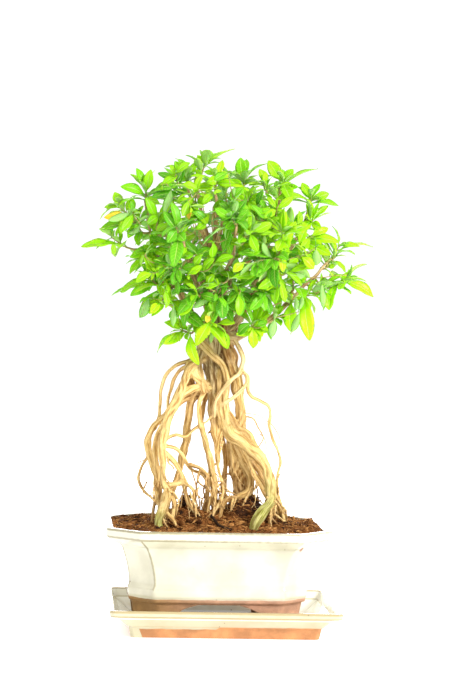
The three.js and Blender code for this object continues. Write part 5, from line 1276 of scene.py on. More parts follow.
def build_thin_roots():
    random = np.random.default_rng(29)
    named = {limb.name: limb for limb in limbs[:len(ROOTS)]}
    thin = Heap("shade")
    for name, count in THIN_ROOT_SOURCES.items():
        limb = named[name]
        low, high = THIN_ROOT_SPAN
        within = np.nonzero((limb.centres[:, 2] > low) & (limb.centres[:, 2] < high))[0]
        for i in random.choice(within, count):
            path = thin_root_path(random, limb.centres[i])
            thick = min(random.uniform(*THIN_ROOT_THICK), 0.75 * limb.radii[i])
            radii = thick * np.linspace(1.1, 0.7, len(path))
            add_tube(thin, path, radii, THIN_ROOT_SIDES, shade=random.uniform(0, 1))
            for j in random.choice(len(path), 2):
                add_hair(thin, random, path[j])
    for radius, knots in STANDING_HAIRS:
        path = drawn_through([seen(*knot) for knot in knots])
        add_tube(thin, path, radius * np.linspace(1, 0.5, len(path)), THIN_ROOT_SIDES, shade=0.3)
    rows = laid_out(ROOTS)
    for thick, bends in ROOTLETS:
        path = rootlet_path(rows, bends)
        knobs = 1 + 0.22 * np.sin(np.arange(len(path)) * 1.7 + thick * 9)
        radii = thick * np.linspace(0.55, 0.36, len(path)) * knobs
        path = path + random.normal(0, 0.16, path.shape)
        add_tube(thin, path, radii, TUBE_OF_ROOTLET, shade=random.uniform(0, 0.5))
    return thin.piece("thin_roots")


thin_roots = build_thin_roots()
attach(thin_roots, "root")
print("thin root triangles:", triangle_count(thin_roots))

# %% [markdown]
# Bare twigs as thin as wire rise from the fork in the middle of the crown and show between the leaves. Each
# starts on the bark of a branch and comes forward on its way.

# %% Wire twigs
# Twigs as read off the enlarged photograph: how thick, then right and down of each bend.
TWIG_READINGS = [
    (10, [(700, 640), (690, 560), (640, 470), (610, 400)]),
    (10, [(690, 600), (660, 520), (600, 440), (590, 350)]),
    (11, [(700, 620), (702, 520), (690, 440), (700, 360)]),
    (10, [(705, 600), (730, 520), (740, 450), (745, 390)]),
    (8, [(690, 560), (722, 480), (715, 420), (690, 350)]),
    (9, [(670, 560), (640, 500), (655, 430), (640, 340)]),
    (8, [(675, 600), (625, 520), (620, 440), (575, 380)]),
    (8, [(700, 560), (745, 500), (790, 440), (800, 380)]),
    (8, [(720, 400), (760, 440), (800, 490), (850, 560), (900, 610)]),
    (7, [(870, 320), (905, 350), (940, 400), (960, 430)]),
    (9, [(380, 440), (410, 470), (430, 530)]),
    (9, [(600, 640), (580, 560), (600, 500), (590, 440)]),
    (12, [(560, 880), (520, 760), (500, 700), (470, 640)]),
    (7, [(1170, 720), (1260, 718), (1330, 712), (1400, 708)]),
    (9, [(760, 760), (820, 790), (870, 812)]),
    (8, [(480, 700), (520, 740), (545, 810)]),
    (10, [(900, 960), (950, 900), (1000, 870), (1050, 850)]),
    (10, [(930, 780), (990, 700), (1040, 640), (1080, 560)]),
    (8, [(1190, 740), (1130, 640), (1150, 560)]),
    (8, [(760, 340), (772, 380), (750, 430)]),
    (10, [(800, 900), (860, 830), (930, 740)]),
]
# A wire twig is this much thinner than its blurred picture.
WIRE_SHARE = 0.75
WIRE_TWIGS = [
    (round(thick * CROWN_READ[0] * WIRE_SHARE, 1), [read_off(*bend, CROWN_READ) for bend in bends])
    for thick, bends in TWIG_READINGS
]
TWIG_COMES_FORWARD = 14


def build_wire_twigs():
    random = np.random.default_rng(61)
    rows = laid_out(BRANCHES)
    twigs = Heap("shade")
    for thick, bends in WIRE_TWIGS:
        start = depth_on(rows, *bends[0])
        depths = start - TWIG_COMES_FORWARD * np.linspace(0, 1, len(bends))
        path = drawn_through([seen(*bend, depth) for bend, depth in zip(bends, depths)])
        knees = 1 + 0.2 * np.maximum(0, np.sin(np.arange(len(path)) * 1.9)) ** 2
        radii = thick * np.linspace(0.55, 0.35, len(path)) * knees
        add_tube(twigs, path, radii, TUBE_OF_ROOTLET, shade=random.uniform(0, 0.5))
    return twigs.piece("wire_twigs")


wire_twigs = build_wire_twigs()
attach(wire_twigs, "root")
print("wire twig triangles:", triangle_count(wire_twigs))

# %% [markdown]
# ## Leafy sprays
#
# Each measured spray is a twig with plain blades. A blade ends in a point that four faces share, and its
# rings of four points lead back to the twig. Walking along them gives where each leaf starts, where it
# ends, how wide it is and which way it looks. A finer leaf then grows in the same place.

# %% Reading the measured sprays
# An apex whose first ring is flatter than this is the tip of a leaf, and the other ends are twigs.
LEAF_FLATNESS = 1.45
WIDEST_HALF = 7.0
STALK_SHARE = 0.08
STALK_WIDTH = 0.13
OUTLINE_SKEW = 1.08
OUTLINE_FULLNESS = 0.75


def leaf_outline(s):
    """Half width of a leaf along its length, as a share of the greatest."""
    blade = np.clip((s - STALK_SHARE) / (1 - STALK_SHARE), 0, 1)
    full = np.sin(np.pi * blade**OUTLINE_SKEW) ** OUTLINE_FULLNESS
    return np.maximum(STALK_WIDTH * np.minimum(1, 6 * (1 - s)), full)


def welded(node):
    """A node's points without doubles, in millimetres, and its triangles."""
    mesh = frame["nodes"][node].data
    kept, renumbered = np.unique(np.round(points_of(mesh) / MM, 2), axis=0, return_inverse=True)
    renumbered = renumbered.reshape(-1)
    mesh.calc_loop_triangles()
    corners = np.empty(3 * len(mesh.loop_triangles), np.int32)
    mesh.loop_triangles.foreach_get("vertices", corners)
    return kept, renumbered[corners].reshape(-1, 3)


def neighbours_of(triangles, count):
    near = [set() for i in range(count)]
    for a, b, c in triangles.tolist():
        near[a] |= {b, c}
        near[b] |= {a, c}
        near[c] |= {a, b}
    return near


def ordered(ring, near):
    """Four points in their order round the ring, or None where they don't form one."""
    ring = list(ring)
    path = [ring[0]]
    while len(path) < 4:
        following = [p for p in ring if p in near[path[-1]] and p not in path]
        if not following:
            return None
        path.append(following[0])
    return path if path[0] in near[path[-1]] else None


def walk(apex, near, allowed):
    """Rings of four points from an apex on, for as long as each leads to only one other."""
    rings = [sorted(near[apex] & allowed)]
    passed = {apex, *rings[0]}
    while True:
        ahead = set().union(*(near[p] for p in rings[-1])) & allowed
        ahead -= passed
        if len(ahead) != 4:
            return rings, ahead
        rings.append(sorted(ahead))
        passed |= ahead


def flatness(ring, points):
    first, second = points[ring[0]] - points[ring[2]], points[ring[1]] - points[ring[3]]
    lengths = sorted([np.linalg.norm(first), np.linalg.norm(second)])
    return lengths[1] / max(lengths[0], 1e-6)


def measured_leaf(apex, rings, points):
    """Start, end, half width, way up and arch of one blade."""
    tip = points[apex]
    root = points[rings[-1]].mean(axis=0)
    length = np.linalg.norm(tip - root)
    along = (tip - root) / length
    half_width, arches, facing = 0.0, [], ZERO
    for ring in rings[:-1]:
        corners = points[ring]
        if np.linalg.norm(corners[0] - corners[2]) < np.linalg.norm(corners[1] - corners[3]):
            corners = corners[[1, 2, 3, 0]]
        edges = corners[[0, 2]]
        middles = corners[[1, 3]]
        centre = middles.mean(axis=0)
        s = float(np.clip((centre - root).dot(along) / length, 0.03, 0.97))
        half = np.linalg.norm(edges[0] - edges[1]) / 2
        half_width = max(half_width, half / float(leaf_outline(np.array(s))))
        across = unit(edges[0] - edges[1])
        normal = unit(np.cross(across, along))
        if normal.dot(edges.mean(axis=0) - centre) < 0:
            normal = -normal
        facing = facing + normal * half
        off = centre - root - along * (centre - root).dot(along)
        arches.append((off, 4 * s * (1 - s)))
    facing = unit(facing)
    arch = float(np.mean([off.dot(facing) / share for off, share in arches]))
    return {"root": root, "tip": tip, "facing": facing, "half": min(half_width, WIDEST_HALF), "arch": arch}


def measured_spray(node):
    """The leaves of one spray, and the middle line of its twig from its foot to its bud."""
    points, triangles = welded(node)
    near = neighbours_of(triangles, len(points))
    everything = set(range(len(points)))
    leaves, leafy, ends = [], set(), []
    for apex in [p for p in everything if len(near[p]) == 4]:
        rings, beyond = walk(apex, near, everything)
        rings = [ordered(ring, near) for ring in rings]
        if None in rings:
            continue
        if flatness(rings[0], points) > LEAF_FLATNESS and len(rings) >= 3:
            leaves.append(measured_leaf(apex, rings, points))
            leafy |= {apex}.union(*rings[:-1])
        else:
            ends.append(apex)
    wooden = everything - leafy
    line = []
    for apex in ends:
        if apex in leafy:
            continue
        rings, beyond = walk(apex, near, wooden)
        centres = [points[ring].mean(axis=0) for ring in rings]
        if len(centres) > len(line):
            line = [points[apex], *centres]
            girth = [np.linalg.norm(points[rings[i][0]] - centres[i]) for i in (0, -1)]
    if girth[0] < girth[1]:
        line.reverse()
    return leaves, np.array(line)


spray_nodes = sorted(name for name in frame["nodes"] if name.startswith("spray"))
sprays = {node: measured_spray(node) for node in spray_nodes}
print("leaves found:", sum(len(leaves) for leaves, line in sprays.values()), "in", len(sprays), "sprays")
print("shortest twig line:", min(len(line) for leaves, line in sprays.values()), "points")

# %% [markdown]
# A blade has a row of points for each share of its length: seven across the upper face and five across the
# lower. It is thickest along the rib, folds up a little towards the edges, and waves and twists by chance.

# %% Leaves
BLADE_ROWS = np.array([0.0, 0.05, 0.11, 0.2, 0.31, 0.42, 0.53, 0.64, 0.75, 0.85, 0.93, 0.975])
UPPER = np.array([-1, -0.62, -0.26, 0, 0.26, 0.62, 1])
LOWER = np.array([0.62, 0.26, 0, -0.26, -0.62])
ROUND_BLADE = np.concatenate([UPPER, LOWER])
UNDERSIDE = np.repeat([0.0, 1.0], [len(UPPER), len(LOWER)])
# The same for every leaf: how far along and how far across a point lies, and whether it is on the underside.
BLADE_VALUES = {
    "blade_s": np.append(np.repeat(BLADE_ROWS, len(ROUND_BLADE)), [0, 1]),
    "blade_c": np.append(np.tile(ROUND_BLADE[::-1], len(BLADE_ROWS)), [0, 0]),
    "under": np.append(np.tile(UNDERSIDE[::-1], len(BLADE_ROWS)), [0, 0]),
}
LEAFY_VALUES = (*BLADE_VALUES, "shade", "age", "woody")
BLADE_THICK = 0.34
STALK_THICK = 0.9
BLADE_FOLD = 0.24
RIB_GROOVE = 0.22
RIB_BACK = 0.3
RIB_WIDTH = 0.2
STALK_FADES_AT = 0.13
EDGE_WAVE = 0.1
TWIST = 0.22
SWAY = 0.03


def add_leaf(heap, leaf, random, shade, age):
    root, tip = leaf["root"], leaf["tip"]
    length = np.linalg.norm(tip - root)
    along = (tip - root) / length
    normal = unit(leaf["facing"] - leaf["facing"].dot(along) * along)
    across = np.cross(normal, along)
    s = BLADE_ROWS[:, None]
    c = ROUND_BLADE[None, :]
    half = leaf["half"] * leaf_outline(s)
    edge = np.abs(c)
    ripple = np.sin(2 * np.pi * (random.uniform(1.2, 2.4) * s + random.uniform()) + 2 * c)
    wave = EDGE_WAVE * half * edge**3 * ripple
    rib = np.exp(-((c / RIB_WIDTH) ** 2))
    lift = 4 * leaf["arch"] * s * (1 - s) + BLADE_FOLD * half * edge**1.5 + wave - RIB_GROOVE * rib * (1 - s)
    lift = lift - random.uniform(0, 0.05) * length * s**4
    stalk = np.clip(1 - s / STALK_FADES_AT, 0, 1)
    thick = (BLADE_THICK * (1 - 0.7 * edge**2)) * (1 - stalk) + STALK_THICK * stalk * (1 - 0.6 * edge)
    height = lift + thick * (0.5 - UNDERSIDE) - UNDERSIDE * RIB_BACK * rib * (1 - s)
    twist = random.normal(0, TWIST) * (s - 0.3)
    side = c * half
    flat = side * np.cos(twist) - height * np.sin(twist)
    high = side * np.sin(twist) + height * np.cos(twist)
    sway = random.normal(0, SWAY) * length * np.sin(np.pi * s)
    rings = root + s[..., None] * length * along
    rings = rings + (flat + sway)[..., None] * across + high[..., None] * normal
    add_loft(heap, rings[:, ::-1], root, tip, **BLADE_VALUES, shade=shade, age=age, woody=0)


def young_leaf(random, line, place):
    """A smaller leaf between the measured ones, that starts at a share of the twig's line."""
    spot = along_curve(line, [place, min(1.0, place + 0.05), max(0.0, place - 0.05)])
    run = unit(spot[1] - spot[2])
    around = unit(np.cross(run, random.normal(0, 1, 3)))
    rise = random.uniform(0.1, 0.9)
    along = unit(around * math.cos(rise) + run * math.sin(rise) + UP * random.uniform(-0.15, 0.25))
    length = random.uniform(9, 22)
    facing = UP + 0.5 * run + random.normal(0, 0.35, 3)
    return {
        "root": spot[0], "tip": spot[0] + along * length, "facing": facing,
        "half": length * random.uniform(0.15, 0.2), "arch": length * random.uniform(0.02, 0.1),
    }


YOUNG_LEAVES = 7
YOUNG_FROM = 0.42
FOOT_IN_BARK = 2.2
TWIG_SIDES = 7


def few_old(random):
    """0 for most leaves, and up to 1 for a few old ones."""
    return max(0, random.normal(-0.8, 0.5))


TONE_OF_SPRAY = {part["node"]: part["material_slot"] for part in frame["record"]["subparts"]}


def build_spray(node, leaves, line):
    random = np.random.default_rng(int(node[-2:]))
    spray = Heap(*LEAFY_VALUES)
    foot = line[0] + unit(line[0] - line[1]) * FOOT_IN_BARK
    path = drawn_through(np.vstack([foot, line[1:]]), 4)
    radii = np.interp(np.linspace(0, 1, len(path)), [0, 0.75, 1], [1.0, 0.72, 0.35])
    knees = 1 + 0.16 * np.maximum(0, np.sin(np.arange(len(path)) * 2.1)) ** 2
    add_tube(spray, path, radii * knees, TWIG_SIDES, woody=1, shade=random.uniform(-1, 1))
    for leaf in leaves:
        add_leaf(spray, leaf, random, random.normal(0, 0.45), few_old(random))
    for _ in range(YOUNG_LEAVES):
        small = young_leaf(random, line, random.uniform(YOUNG_FROM, 1.0))
        add_leaf(spray, small, random, random.normal(0.35, 0.4), few_old(random))
    piece = spray.piece(node.replace("spray", "leafy_twig"))
    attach(piece, "root")
    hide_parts(node)
    return piece


leafy_twigs = {node: build_spray(node, leaves, line) for node, (leaves, line) in sprays.items()}
print("leafy twig triangles:", sum(triangle_count(piece) for piece in leafy_twigs.values()))

# %% [markdown]
# ## Front shoots
#
# The middle of the crown's front is closed by leaves on shoots as thin as wire. Each leaf has its place:
# where its stalk starts, where it ends, and how wide it is, as seen from the front. Dusky leaves show their
# pale underside, whose grey green is partly painted sheen, and old ones are yellow. Inside the crown and at
# its rear more leaves stand where chance puts them, mostly in dark and mid tones as painted shade. A stem
# runs from each stalk back to the nearest wood, or to a stem that is already there.

# %% Front shoots
# Across and up of the stalk, across and up of the end, width.
FRONT_LEAVES = {
    "bright": [
        (54, 344, 60, 365, 10), (52, 339, 55, 322, 8), (52, 315, 32, 305, 10), (71, 337, 83, 326, 10),
        (-9, 277, -21, 255, 12), (-3, 274, 13, 276, 8), (29, 272, 30, 253, 9), (105, 314, 98, 291, 10),
        (-31, 318, -18, 326, 8), (69, 348, 74, 361, 9), (-55, 328, -57, 314, 9), (-62, 318, -77, 310, 9),
        (20, 330, 10, 321, 8), (-54, 292, -63, 282, 8),
    ],
    "mid": [
        (-57, 397, -42, 407, 8), (-44, 408, -31, 418, 8), (-81, 371, -91, 356, 8),
        (-46, 370, -33, 356, 10), (-32, 384, -37, 370, 8), (-71, 335, -60, 319, 10),
        (8, 337, -7, 328, 10), (-1, 311, -17, 308, 9), (7, 316, 32, 320, 9), (43, 363, 21, 359, 9),
        (28, 339, 45, 341, 7), (-22, 301, -38, 281, 11), (-8, 298, -6, 285, 8), (15, 302, 16, 282, 8),
        (-4, 270, 7, 252, 11), (114, 316, 105, 308, 7), (-51, 304, -48, 289, 6), (-69, 336, -73, 324, 9),
        (-48, 363, -60, 356, 8), (-25, 358, -15, 365, 8), (-17, 321, -7, 333, 9), (-8, 348, -9, 333, 9),
        (37, 344, 23, 335, 8), (54, 331, 59, 345, 8), (-32, 342, -47, 337, 9), (-38, 332, -26, 336, 9),
        (-18, 336, -25, 327, 8), (-9, 391, -19, 382, 8), (-23, 394, -37, 399, 8), (62, 359, 76, 364, 9),
        (-14, 309, -7, 319, 8), (-7, 329, 10, 335, 9), (16, 345, 3, 352, 9), (12, 368, 16, 353, 8),
    ],
    "dark": [
        (3, 410, -9, 403, 8), (-25, 336, -9, 341, 10), (-3, 375, 13, 363, 11), (35, 334, 32, 317, 10),
        (69, 338, 57, 340, 7), (1, 299, 2, 279, 12), (38, 302, 26, 287, 9), (28, 276, 16, 265, 9),
        (42, 276, 33, 274, 7), (14, 366, 22, 378, 9), (16, 347, 26, 354, 9), (2, 350, 8, 337, 10),
        (21, 351, 26, 366, 9), (46, 334, 37, 322, 9), (8, 388, 17, 397, 9), (0, 338, 6, 360, 10),
        (12, 379, -2, 367, 10),
    ],
    "dusky": [
        (-47, 395, -53, 369, 9), (-82, 373, -103, 364, 8), (-74, 362, -85, 353, 8),
        (-24, 325, -50, 318, 9), (84, 345, 85, 329, 9), (58, 321, 75, 319, 9), (-6, 304, -25, 288, 9),
        (49, 281, 46, 263, 8), (71, 287, 64, 268, 7), (90, 315, 92, 291, 6), (91, 311, 82, 306, 7),
        (-43, 291, -43, 271, 6), (-65, 297, -72, 278, 9), (4, 359, 0, 343, 8),
    ],
    "old": [
        (-30, 379, -31, 367, 5), (26, 330, 19, 324, 7), (-12, 284, -12, 275, 7),
    ],
}
TONE_OF_FRONT = {
    "bright": "leaf_bright", "old": "leaf_bright", "mid": "leaf_mid",
    "dark": "leaf_dark", "dusky": "leaf_dark",
}
CROWN_MIDDLE = (2, 338)
CROWN_REACH = (130, 96)
INNER_REACH = (62, 50)
FRONT_DEPTH = 56
STEM_RADIUS = 0.42
STEM_POINTS = 10
STEM_SIDES = 5
BUD_SIZE = 0.7
BUD_WIDTH = 0.75
BUD_LEAVES = 2
INNER_LEAVES = 70
REAR_LEAVES = 90
# Inside the crown and at its rear most leaves take the dark and mid tones: painted shade.
INNER_TONES_PAINTED_SHADE = ["dark", "mid", "dark", "mid", "bright"]
FRONT_DEPTHS = (-44, 0)
REAR_DEPTHS = (10, 62)


def front_depth(across, up):
    """The crown's front is round: it comes forward in its middle."""
    away = np.linalg.norm((np.array([across, up]) - CROWN_MIDDLE) / CROWN_REACH)
    return -FRONT_DEPTH * math.sqrt(max(0.0, 1 - min(1.0, away) ** 2))


def front_leaf(random, kind, across, up, end_across, end_up, width):
    depth = front_depth(across, up) + random.normal(0, 5)
    length = 2.5 * width
    root = seen(across, up, depth)
    tip = seen(end_across, end_up, depth + random.normal(0, 0.22) * length)
    towards = np.array([random.normal(0, 0.25), -1.0, 0.75])
    # Dusky leaves are turned over; their pale grey-green underside stands in for the white sheen of glossy
    # leaves, as painted sheen.
    facing = -towards if kind == "dusky" else towards
    arch = random.uniform(-0.02, 0.1) * length
    return {"root": root, "tip": tip, "facing": facing, "half": 0.52 * width, "arch": arch}


def inner_leaf(random, nearest, farthest):
    """A leaf behind the front ones, where chance puts it inside the crown's middle between two depths."""
    turn, away = random.uniform(0, 2 * math.pi), math.sqrt(random.uniform())
    place = CROWN_MIDDLE + np.array([math.cos(turn), math.sin(turn)]) * INNER_REACH * away
    root = seen(*place, random.uniform(nearest, farthest))
    lean = turn + random.normal(0, 0.7)
    along = unit(np.array([math.cos(lean), -0.35, math.sin(lean)]) + random.normal(0, 0.2, 3))
    length = random.uniform(15, 24)
    facing = np.array([random.normal(0, 0.3), math.copysign(1.0, root[1]), 0.8])
    tip = root + along * length
    return {"root": root, "tip": tip, "facing": facing, "half": 0.21 * length, "arch": 0.05 * length}


def placed_leaves(random):
    """The leaves of the front shoots, each with its kind."""
    placed = [(kind, front_leaf(random, kind, *row)) for kind, rows in FRONT_LEAVES.items() for row in rows]
    for i in range(INNER_LEAVES + REAR_LEAVES):
        depths = FRONT_DEPTHS if i < INNER_LEAVES else REAR_DEPTHS
        placed.append((INNER_TONES_PAINTED_SHADE[i % len(INNER_TONES_PAINTED_SHADE)], inner_leaf(random, *depths)))
    return placed


def stem_to(random, holds, root):
    """The way from the nearest hold to a leaf's root. Holds above the root count as farther away."""
    reach = np.linalg.norm(holds - root, axis=1) + 0.5 * np.maximum(0, holds[:, 2] - root[2])
    start = holds[np.argmin(reach)]
    middle = 0.5 * (start + root) + random.normal(0, 0.06, 3) * np.linalg.norm(root - start) - UP * 1.5
    return along_curve([start, middle, root], np.linspace(0, 1, STEM_POINTS))


def grow_front_shoots():
    random = np.random.default_rng(53)
    heaps = {tone: Heap(*LEAFY_VALUES) for tone in sorted(set(TONE_OF_FRONT.values()))}
    stem_radii = STEM_RADIUS * np.linspace(1.25, 0.85, STEM_POINTS)
    branch_points = [limb.centres[::3] for limb in limbs[len(ROOTS):]]
    twig_points = [line for leaves, line in sprays.values()]
    holds = np.vstack(branch_points + twig_points)
    placed = placed_leaves(random)
    distance = [np.linalg.norm(holds - leaf["root"], axis=1).min() for kind, leaf in placed]
    for i in np.argsort(distance):
        kind, leaf = placed[i]
        heap = heaps[TONE_OF_FRONT[kind]]
        stem = stem_to(random, holds, leaf["root"])
        add_tube(heap, stem, stem_radii, STEM_SIDES, woody=1, shade=random.uniform(-1, 1))
        holds = np.vstack([holds, stem[3:]])
        add_leaf(heap, leaf, random, random.normal(0, 0.4), 1.0 if kind == "old" else 0.0)
        for _ in range(BUD_LEAVES):
            small = young_leaf(random, stem, random.uniform(0.6, 1.0))
            small["tip"] = small["root"] + (small["tip"] - small["root"]) * BUD_SIZE
            small["half"] *= BUD_WIDTH
            add_leaf(heap, small, random, random.normal(0.4, 0.4), 0.0)
    pieces = {}
    for tone, heap in heaps.items():
        piece = heap.piece("front_shoots_" + tone.replace("leaf_", ""))
        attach(piece, "root")
        pieces[tone] = piece
    return pieces


front_shoots = grow_front_shoots()
print("front shoot triangles:", {tone: triangle_count(piece) for tone, piece in front_shoots.items()})

# %% [markdown]
# ## Materials
#
# A small helper adds shader nodes and links them. Effects that more than one material needs are node
# groups.

# %% Shader helper
class Graph:
    """Adds nodes to a tree of shader nodes and links them."""

    def __init__(self, tree):
        self.tree = tree
        self.tree.nodes.clear()

    def node(self, kind, inputs=(), **settings):
        made = self.tree.nodes.new(kind)
        for key, value in settings.items():
            setattr(made, key, value)
        for key, value in dict(inputs).items():
            if isinstance(value, bpy.types.NodeSocket):
                self.tree.links.new(value, made.inputs[key])
            else:
                made.inputs[key].default_value = value
        return made

    def math(self, operation, first, second=0.0, clamp=False):
        made = self.node("ShaderNodeMath", {0: first, 1: second}, operation=operation, use_clamp=clamp)
        return made.outputs[0]

    def ramp(self, value, low, high, start=0.0, end=1.0):
        """A soft step: the value's range from low to high becomes start to end."""
        stretched = self.node(
            "ShaderNodeMapRange", interpolation_type="SMOOTHSTEP",
            inputs={"Value": value, "From Min": low, "From Max": high, "To Min": start, "To Max": end},
        )
        return stretched.outputs["Result"]

    def times(self, first, second):
        return self.math("MULTIPLY", first, second)

    def blend(self, share, first, second, kind="MIX"):
        mix = self.node("ShaderNodeMix", {0: share, 6: first, 7: second}, data_type="RGBA", blend_type=kind)
        return mix.outputs[2]

    def noise(self, vector, scale, detail=3.0, roughness=0.55):
        return self.node(
            "ShaderNodeTexNoise", {"Vector": vector, "Scale": scale, "Detail": detail, "Roughness": roughness}
        ).outputs["Fac"]

    def stretched(self, vector, scale):
        return self.node("ShaderNodeVectorMath", {0: vector, 1: scale}, operation="MULTIPLY").outputs[0]

    def value_of(self, name, socket="Fac"):
        read = self.node("ShaderNodeAttribute", attribute_name=name, attribute_type="GEOMETRY")
        return read.outputs[socket]

    def dress(self, group, relief, **finish):
        """The surface shader of a material, fed by a group, with finishes that are the same all over."""
        bump = self.node("ShaderNodeBump", {"Height": group["Height"], "Distance": relief, "Strength": 1.0})
        inputs = {"Base Color": group["Colour"], "Roughness": group["Roughness"], "Normal": bump.outputs[0]}
        if "Coat" in group:
            inputs["Coat Weight"] = group["Coat"]
        inputs.update({label.replace("_", " "): value for label, value in finish.items()})
        self.show(inputs)

    def show(self, inputs):
        surface = self.node("ShaderNodeBsdfPrincipled", inputs)
        self.node("ShaderNodeOutputMaterial", {"Surface": surface.outputs[0]})


def paint(red, green, blue):
    return (red, green, blue, 1.0)


def shader_group(name, inputs, outputs):
    """An empty node group with its sockets: its graph, and what it is given."""
    tree = bpy.data.node_groups.new(name, "ShaderNodeTree")
    for direction, sockets in (("INPUT", inputs), ("OUTPUT", outputs)):
        for label, kind in sockets.items():
            tree.interface.new_socket(name=label, in_out=direction, socket_type=kind)
    graph = Graph(tree)
    return graph, graph.node("NodeGroupInput").outputs


COLOUR, NUMBER, WAY = "NodeSocketColor", "NodeSocketFloat", "NodeSocketVector"
print("shader helper ready")

# %% [markdown]
# ### Glaze over clay
#
# Glaze covers the clay down to a wavy line. It has pinholes, faint clouds, and it lies thin over sharp
# bends, where a grey brown shows through; on the pot this darkening also carries painted shade that grows
# to the left. The same group serves the pot and the tray.

# %% Glaze over clay
def glaze_group():
    graph, given = shader_group(
        "glaze_over_clay",
        {"Place": WAY, "Glaze": COLOUR, "Thin glaze": COLOUR, "Clay": COLOUR, "Clay mask": NUMBER,
         "Thin": NUMBER},
        {"Colour": COLOUR, "Roughness": NUMBER, "Coat": NUMBER, "Height": NUMBER},
    )
    place, clay_mask = given["Place"], given["Clay mask"]
    clouds = graph.ramp(graph.noise(place, 28, 4), 0.35, 0.7)
    glaze = graph.blend(graph.times(clouds, 0.35), given["Glaze"], given["Thin glaze"])
    # On the pot, Thin also carries painted shade that grows towards the left.
    ragged = graph.math("ADD", given["Thin"], graph.times(graph.noise(place, 240, 4), 0.5))
    thin_and_shaded = graph.ramp(ragged, 0.5, 1.0)
    glaze = graph.blend(graph.times(thin_and_shaded, 0.9), glaze, given["Thin glaze"])
    holes = graph.node("ShaderNodeTexVoronoi", {"Vector": place, "Scale": 150.0, "Randomness": 1.0})
    hole = graph.ramp(holes.outputs["Distance"], 0.11, 0.07)
    rare = graph.ramp(graph.noise(place, 55, 2), 0.6, 0.64)
    speck = graph.times(hole, rare)
    glaze = graph.blend(graph.times(speck, 0.8), glaze, paint(0.2, 0.13, 0.07))
    grit = graph.noise(place, 420, 5, 0.7)
    clay_shade = graph.ramp(graph.noise(place, 60, 4), 0.3, 0.75, 0.72, 1.18)
    shades = graph.node("ShaderNodeCombineColor", {0: clay_shade, 1: clay_shade, 2: clay_shade})
    clay = graph.blend(1.0, given["Clay"], shades.outputs[0], "MULTIPLY")
    shine = graph.ramp(graph.noise(place, 90, 3), 0.3, 0.7, 0.1, 0.22)
    rough = graph.node("ShaderNodeMix", {0: clay_mask, 2: shine, 3: 0.75}).outputs[0]
    dimple = graph.times(graph.noise(place, 130, 2), 0.25)
    glazed = graph.math("SUBTRACT", dimple, graph.times(speck, 0.6))
    height = graph.node("ShaderNodeMix", {0: clay_mask, 2: glazed, 3: grit}).outputs[0]
    coat = graph.math("SUBTRACT", 1.0, clay_mask, True)
    colour = graph.blend(clay_mask, glaze, clay)
    graph.node("NodeGroupOutput", {"Colour": colour, "Roughness": rough, "Coat": coat, "Height": height})
    return graph.tree


GLAZE_OVER_CLAY = glaze_group()


def material(name):
    """A new material and its empty graph."""
    made = bpy.data.materials.new(name)
    made.use_nodes = True
    return made, Graph(made.node_tree)


def place_of(graph):
    return graph.node("ShaderNodeTexCoord").outputs["Object"]


def height_of(graph, place):
    return graph.node("ShaderNodeSeparateXYZ", {0: place}).outputs["Z"]


def wavy_line(graph, place, level, wave, soft):
    """1 below a level that wavers, and 0 above it."""
    waver = graph.times(graph.math("SUBTRACT", graph.noise(place, 45, 3), 0.5), wave)
    return graph.ramp(graph.math("ADD", height_of(graph, place), waver), level + soft, level - soft)


def ceramic(name, clay_mask_of, coat_roughness, **colours):
    """Glazed stoneware. A colour is one paint, or a mask and the two paints that it leads between."""
    made, graph = material(name)
    place = place_of(graph)
    inputs = {"Place": place, "Clay mask": clay_mask_of(graph, place), "Thin": graph.value_of("thin_glaze")}
    for label, colour in colours.items():
        if len(colour) == 3:
            mask_of, first, second = colour
            colour = graph.blend(mask_of(graph, place), first, second)
        inputs[label.capitalize().replace("_", " ")] = colour
    group = graph.node("ShaderNodeGroup", inputs, node_tree=GLAZE_OVER_CLAY)
    graph.dress(group.outputs, 0.0004, Coat_Roughness=coat_roughness)
    return made


# A chip near the rim's right end: its middle, its lean, and half its length, depth and width.
CHIP_PLACE = (0.0711, -0.061, 0.0796)
CHIP_LEAN = 1.05
CHIP_SIZE = (0.0026, 0.02, 0.0013)
# Where the glaze ends on the pot, how far that line wavers and how soft it is.
POT_GLAZE_END = (0.0336, 0.0024, 0.00035)
# On the tray: how far the glaze ran down, up to which slanting line at the left, and in front of which depth.
RUN_TO = 0.0079
RUN_EDGE = (-0.0665, -0.0655)
RUN_FRONT = (-0.05, -0.045)
# The glaze ends a little higher at the tray's right.
STEP_EDGE = (-0.003, 0.002)
STEP_RISE = 0.0024
LINE_SOFT = 0.00025


def pot_clay(graph, place):
    """Bare clay on the lip under the bead, on the foot and inside it, and in one small chip."""
    chip = {"Vector": place, "Location": CHIP_PLACE, "Rotation": (0, -CHIP_LEAN, 0), "Scale": CHIP_SIZE}
    from_chip = graph.node("ShaderNodeMapping", chip, vector_type="TEXTURE").outputs["Vector"]
    away = graph.node("ShaderNodeVectorMath", {0: from_chip}, operation="LENGTH").outputs["Value"]
    return graph.math("MAXIMUM", wavy_line(graph, place, *POT_GLAZE_END), graph.ramp(away, 1.15, 0.8))


def out_of_painted_left_shade(graph, place):
    """0 at the pot's left corner, where the clay is painted darker and browner as shade, and 1 from its
    middle on.
    """
    across = graph.node("ShaderNodeSeparateXYZ", {0: place}).outputs["X"]
    return graph.ramp(across, -0.075, 0.02)


# 1 on the tray's outside and 0 inside, where the glaze is painted lighter: painted light against the pot's
# shadow.
def outer_side(graph, place):
    return graph.value_of("outer_face")


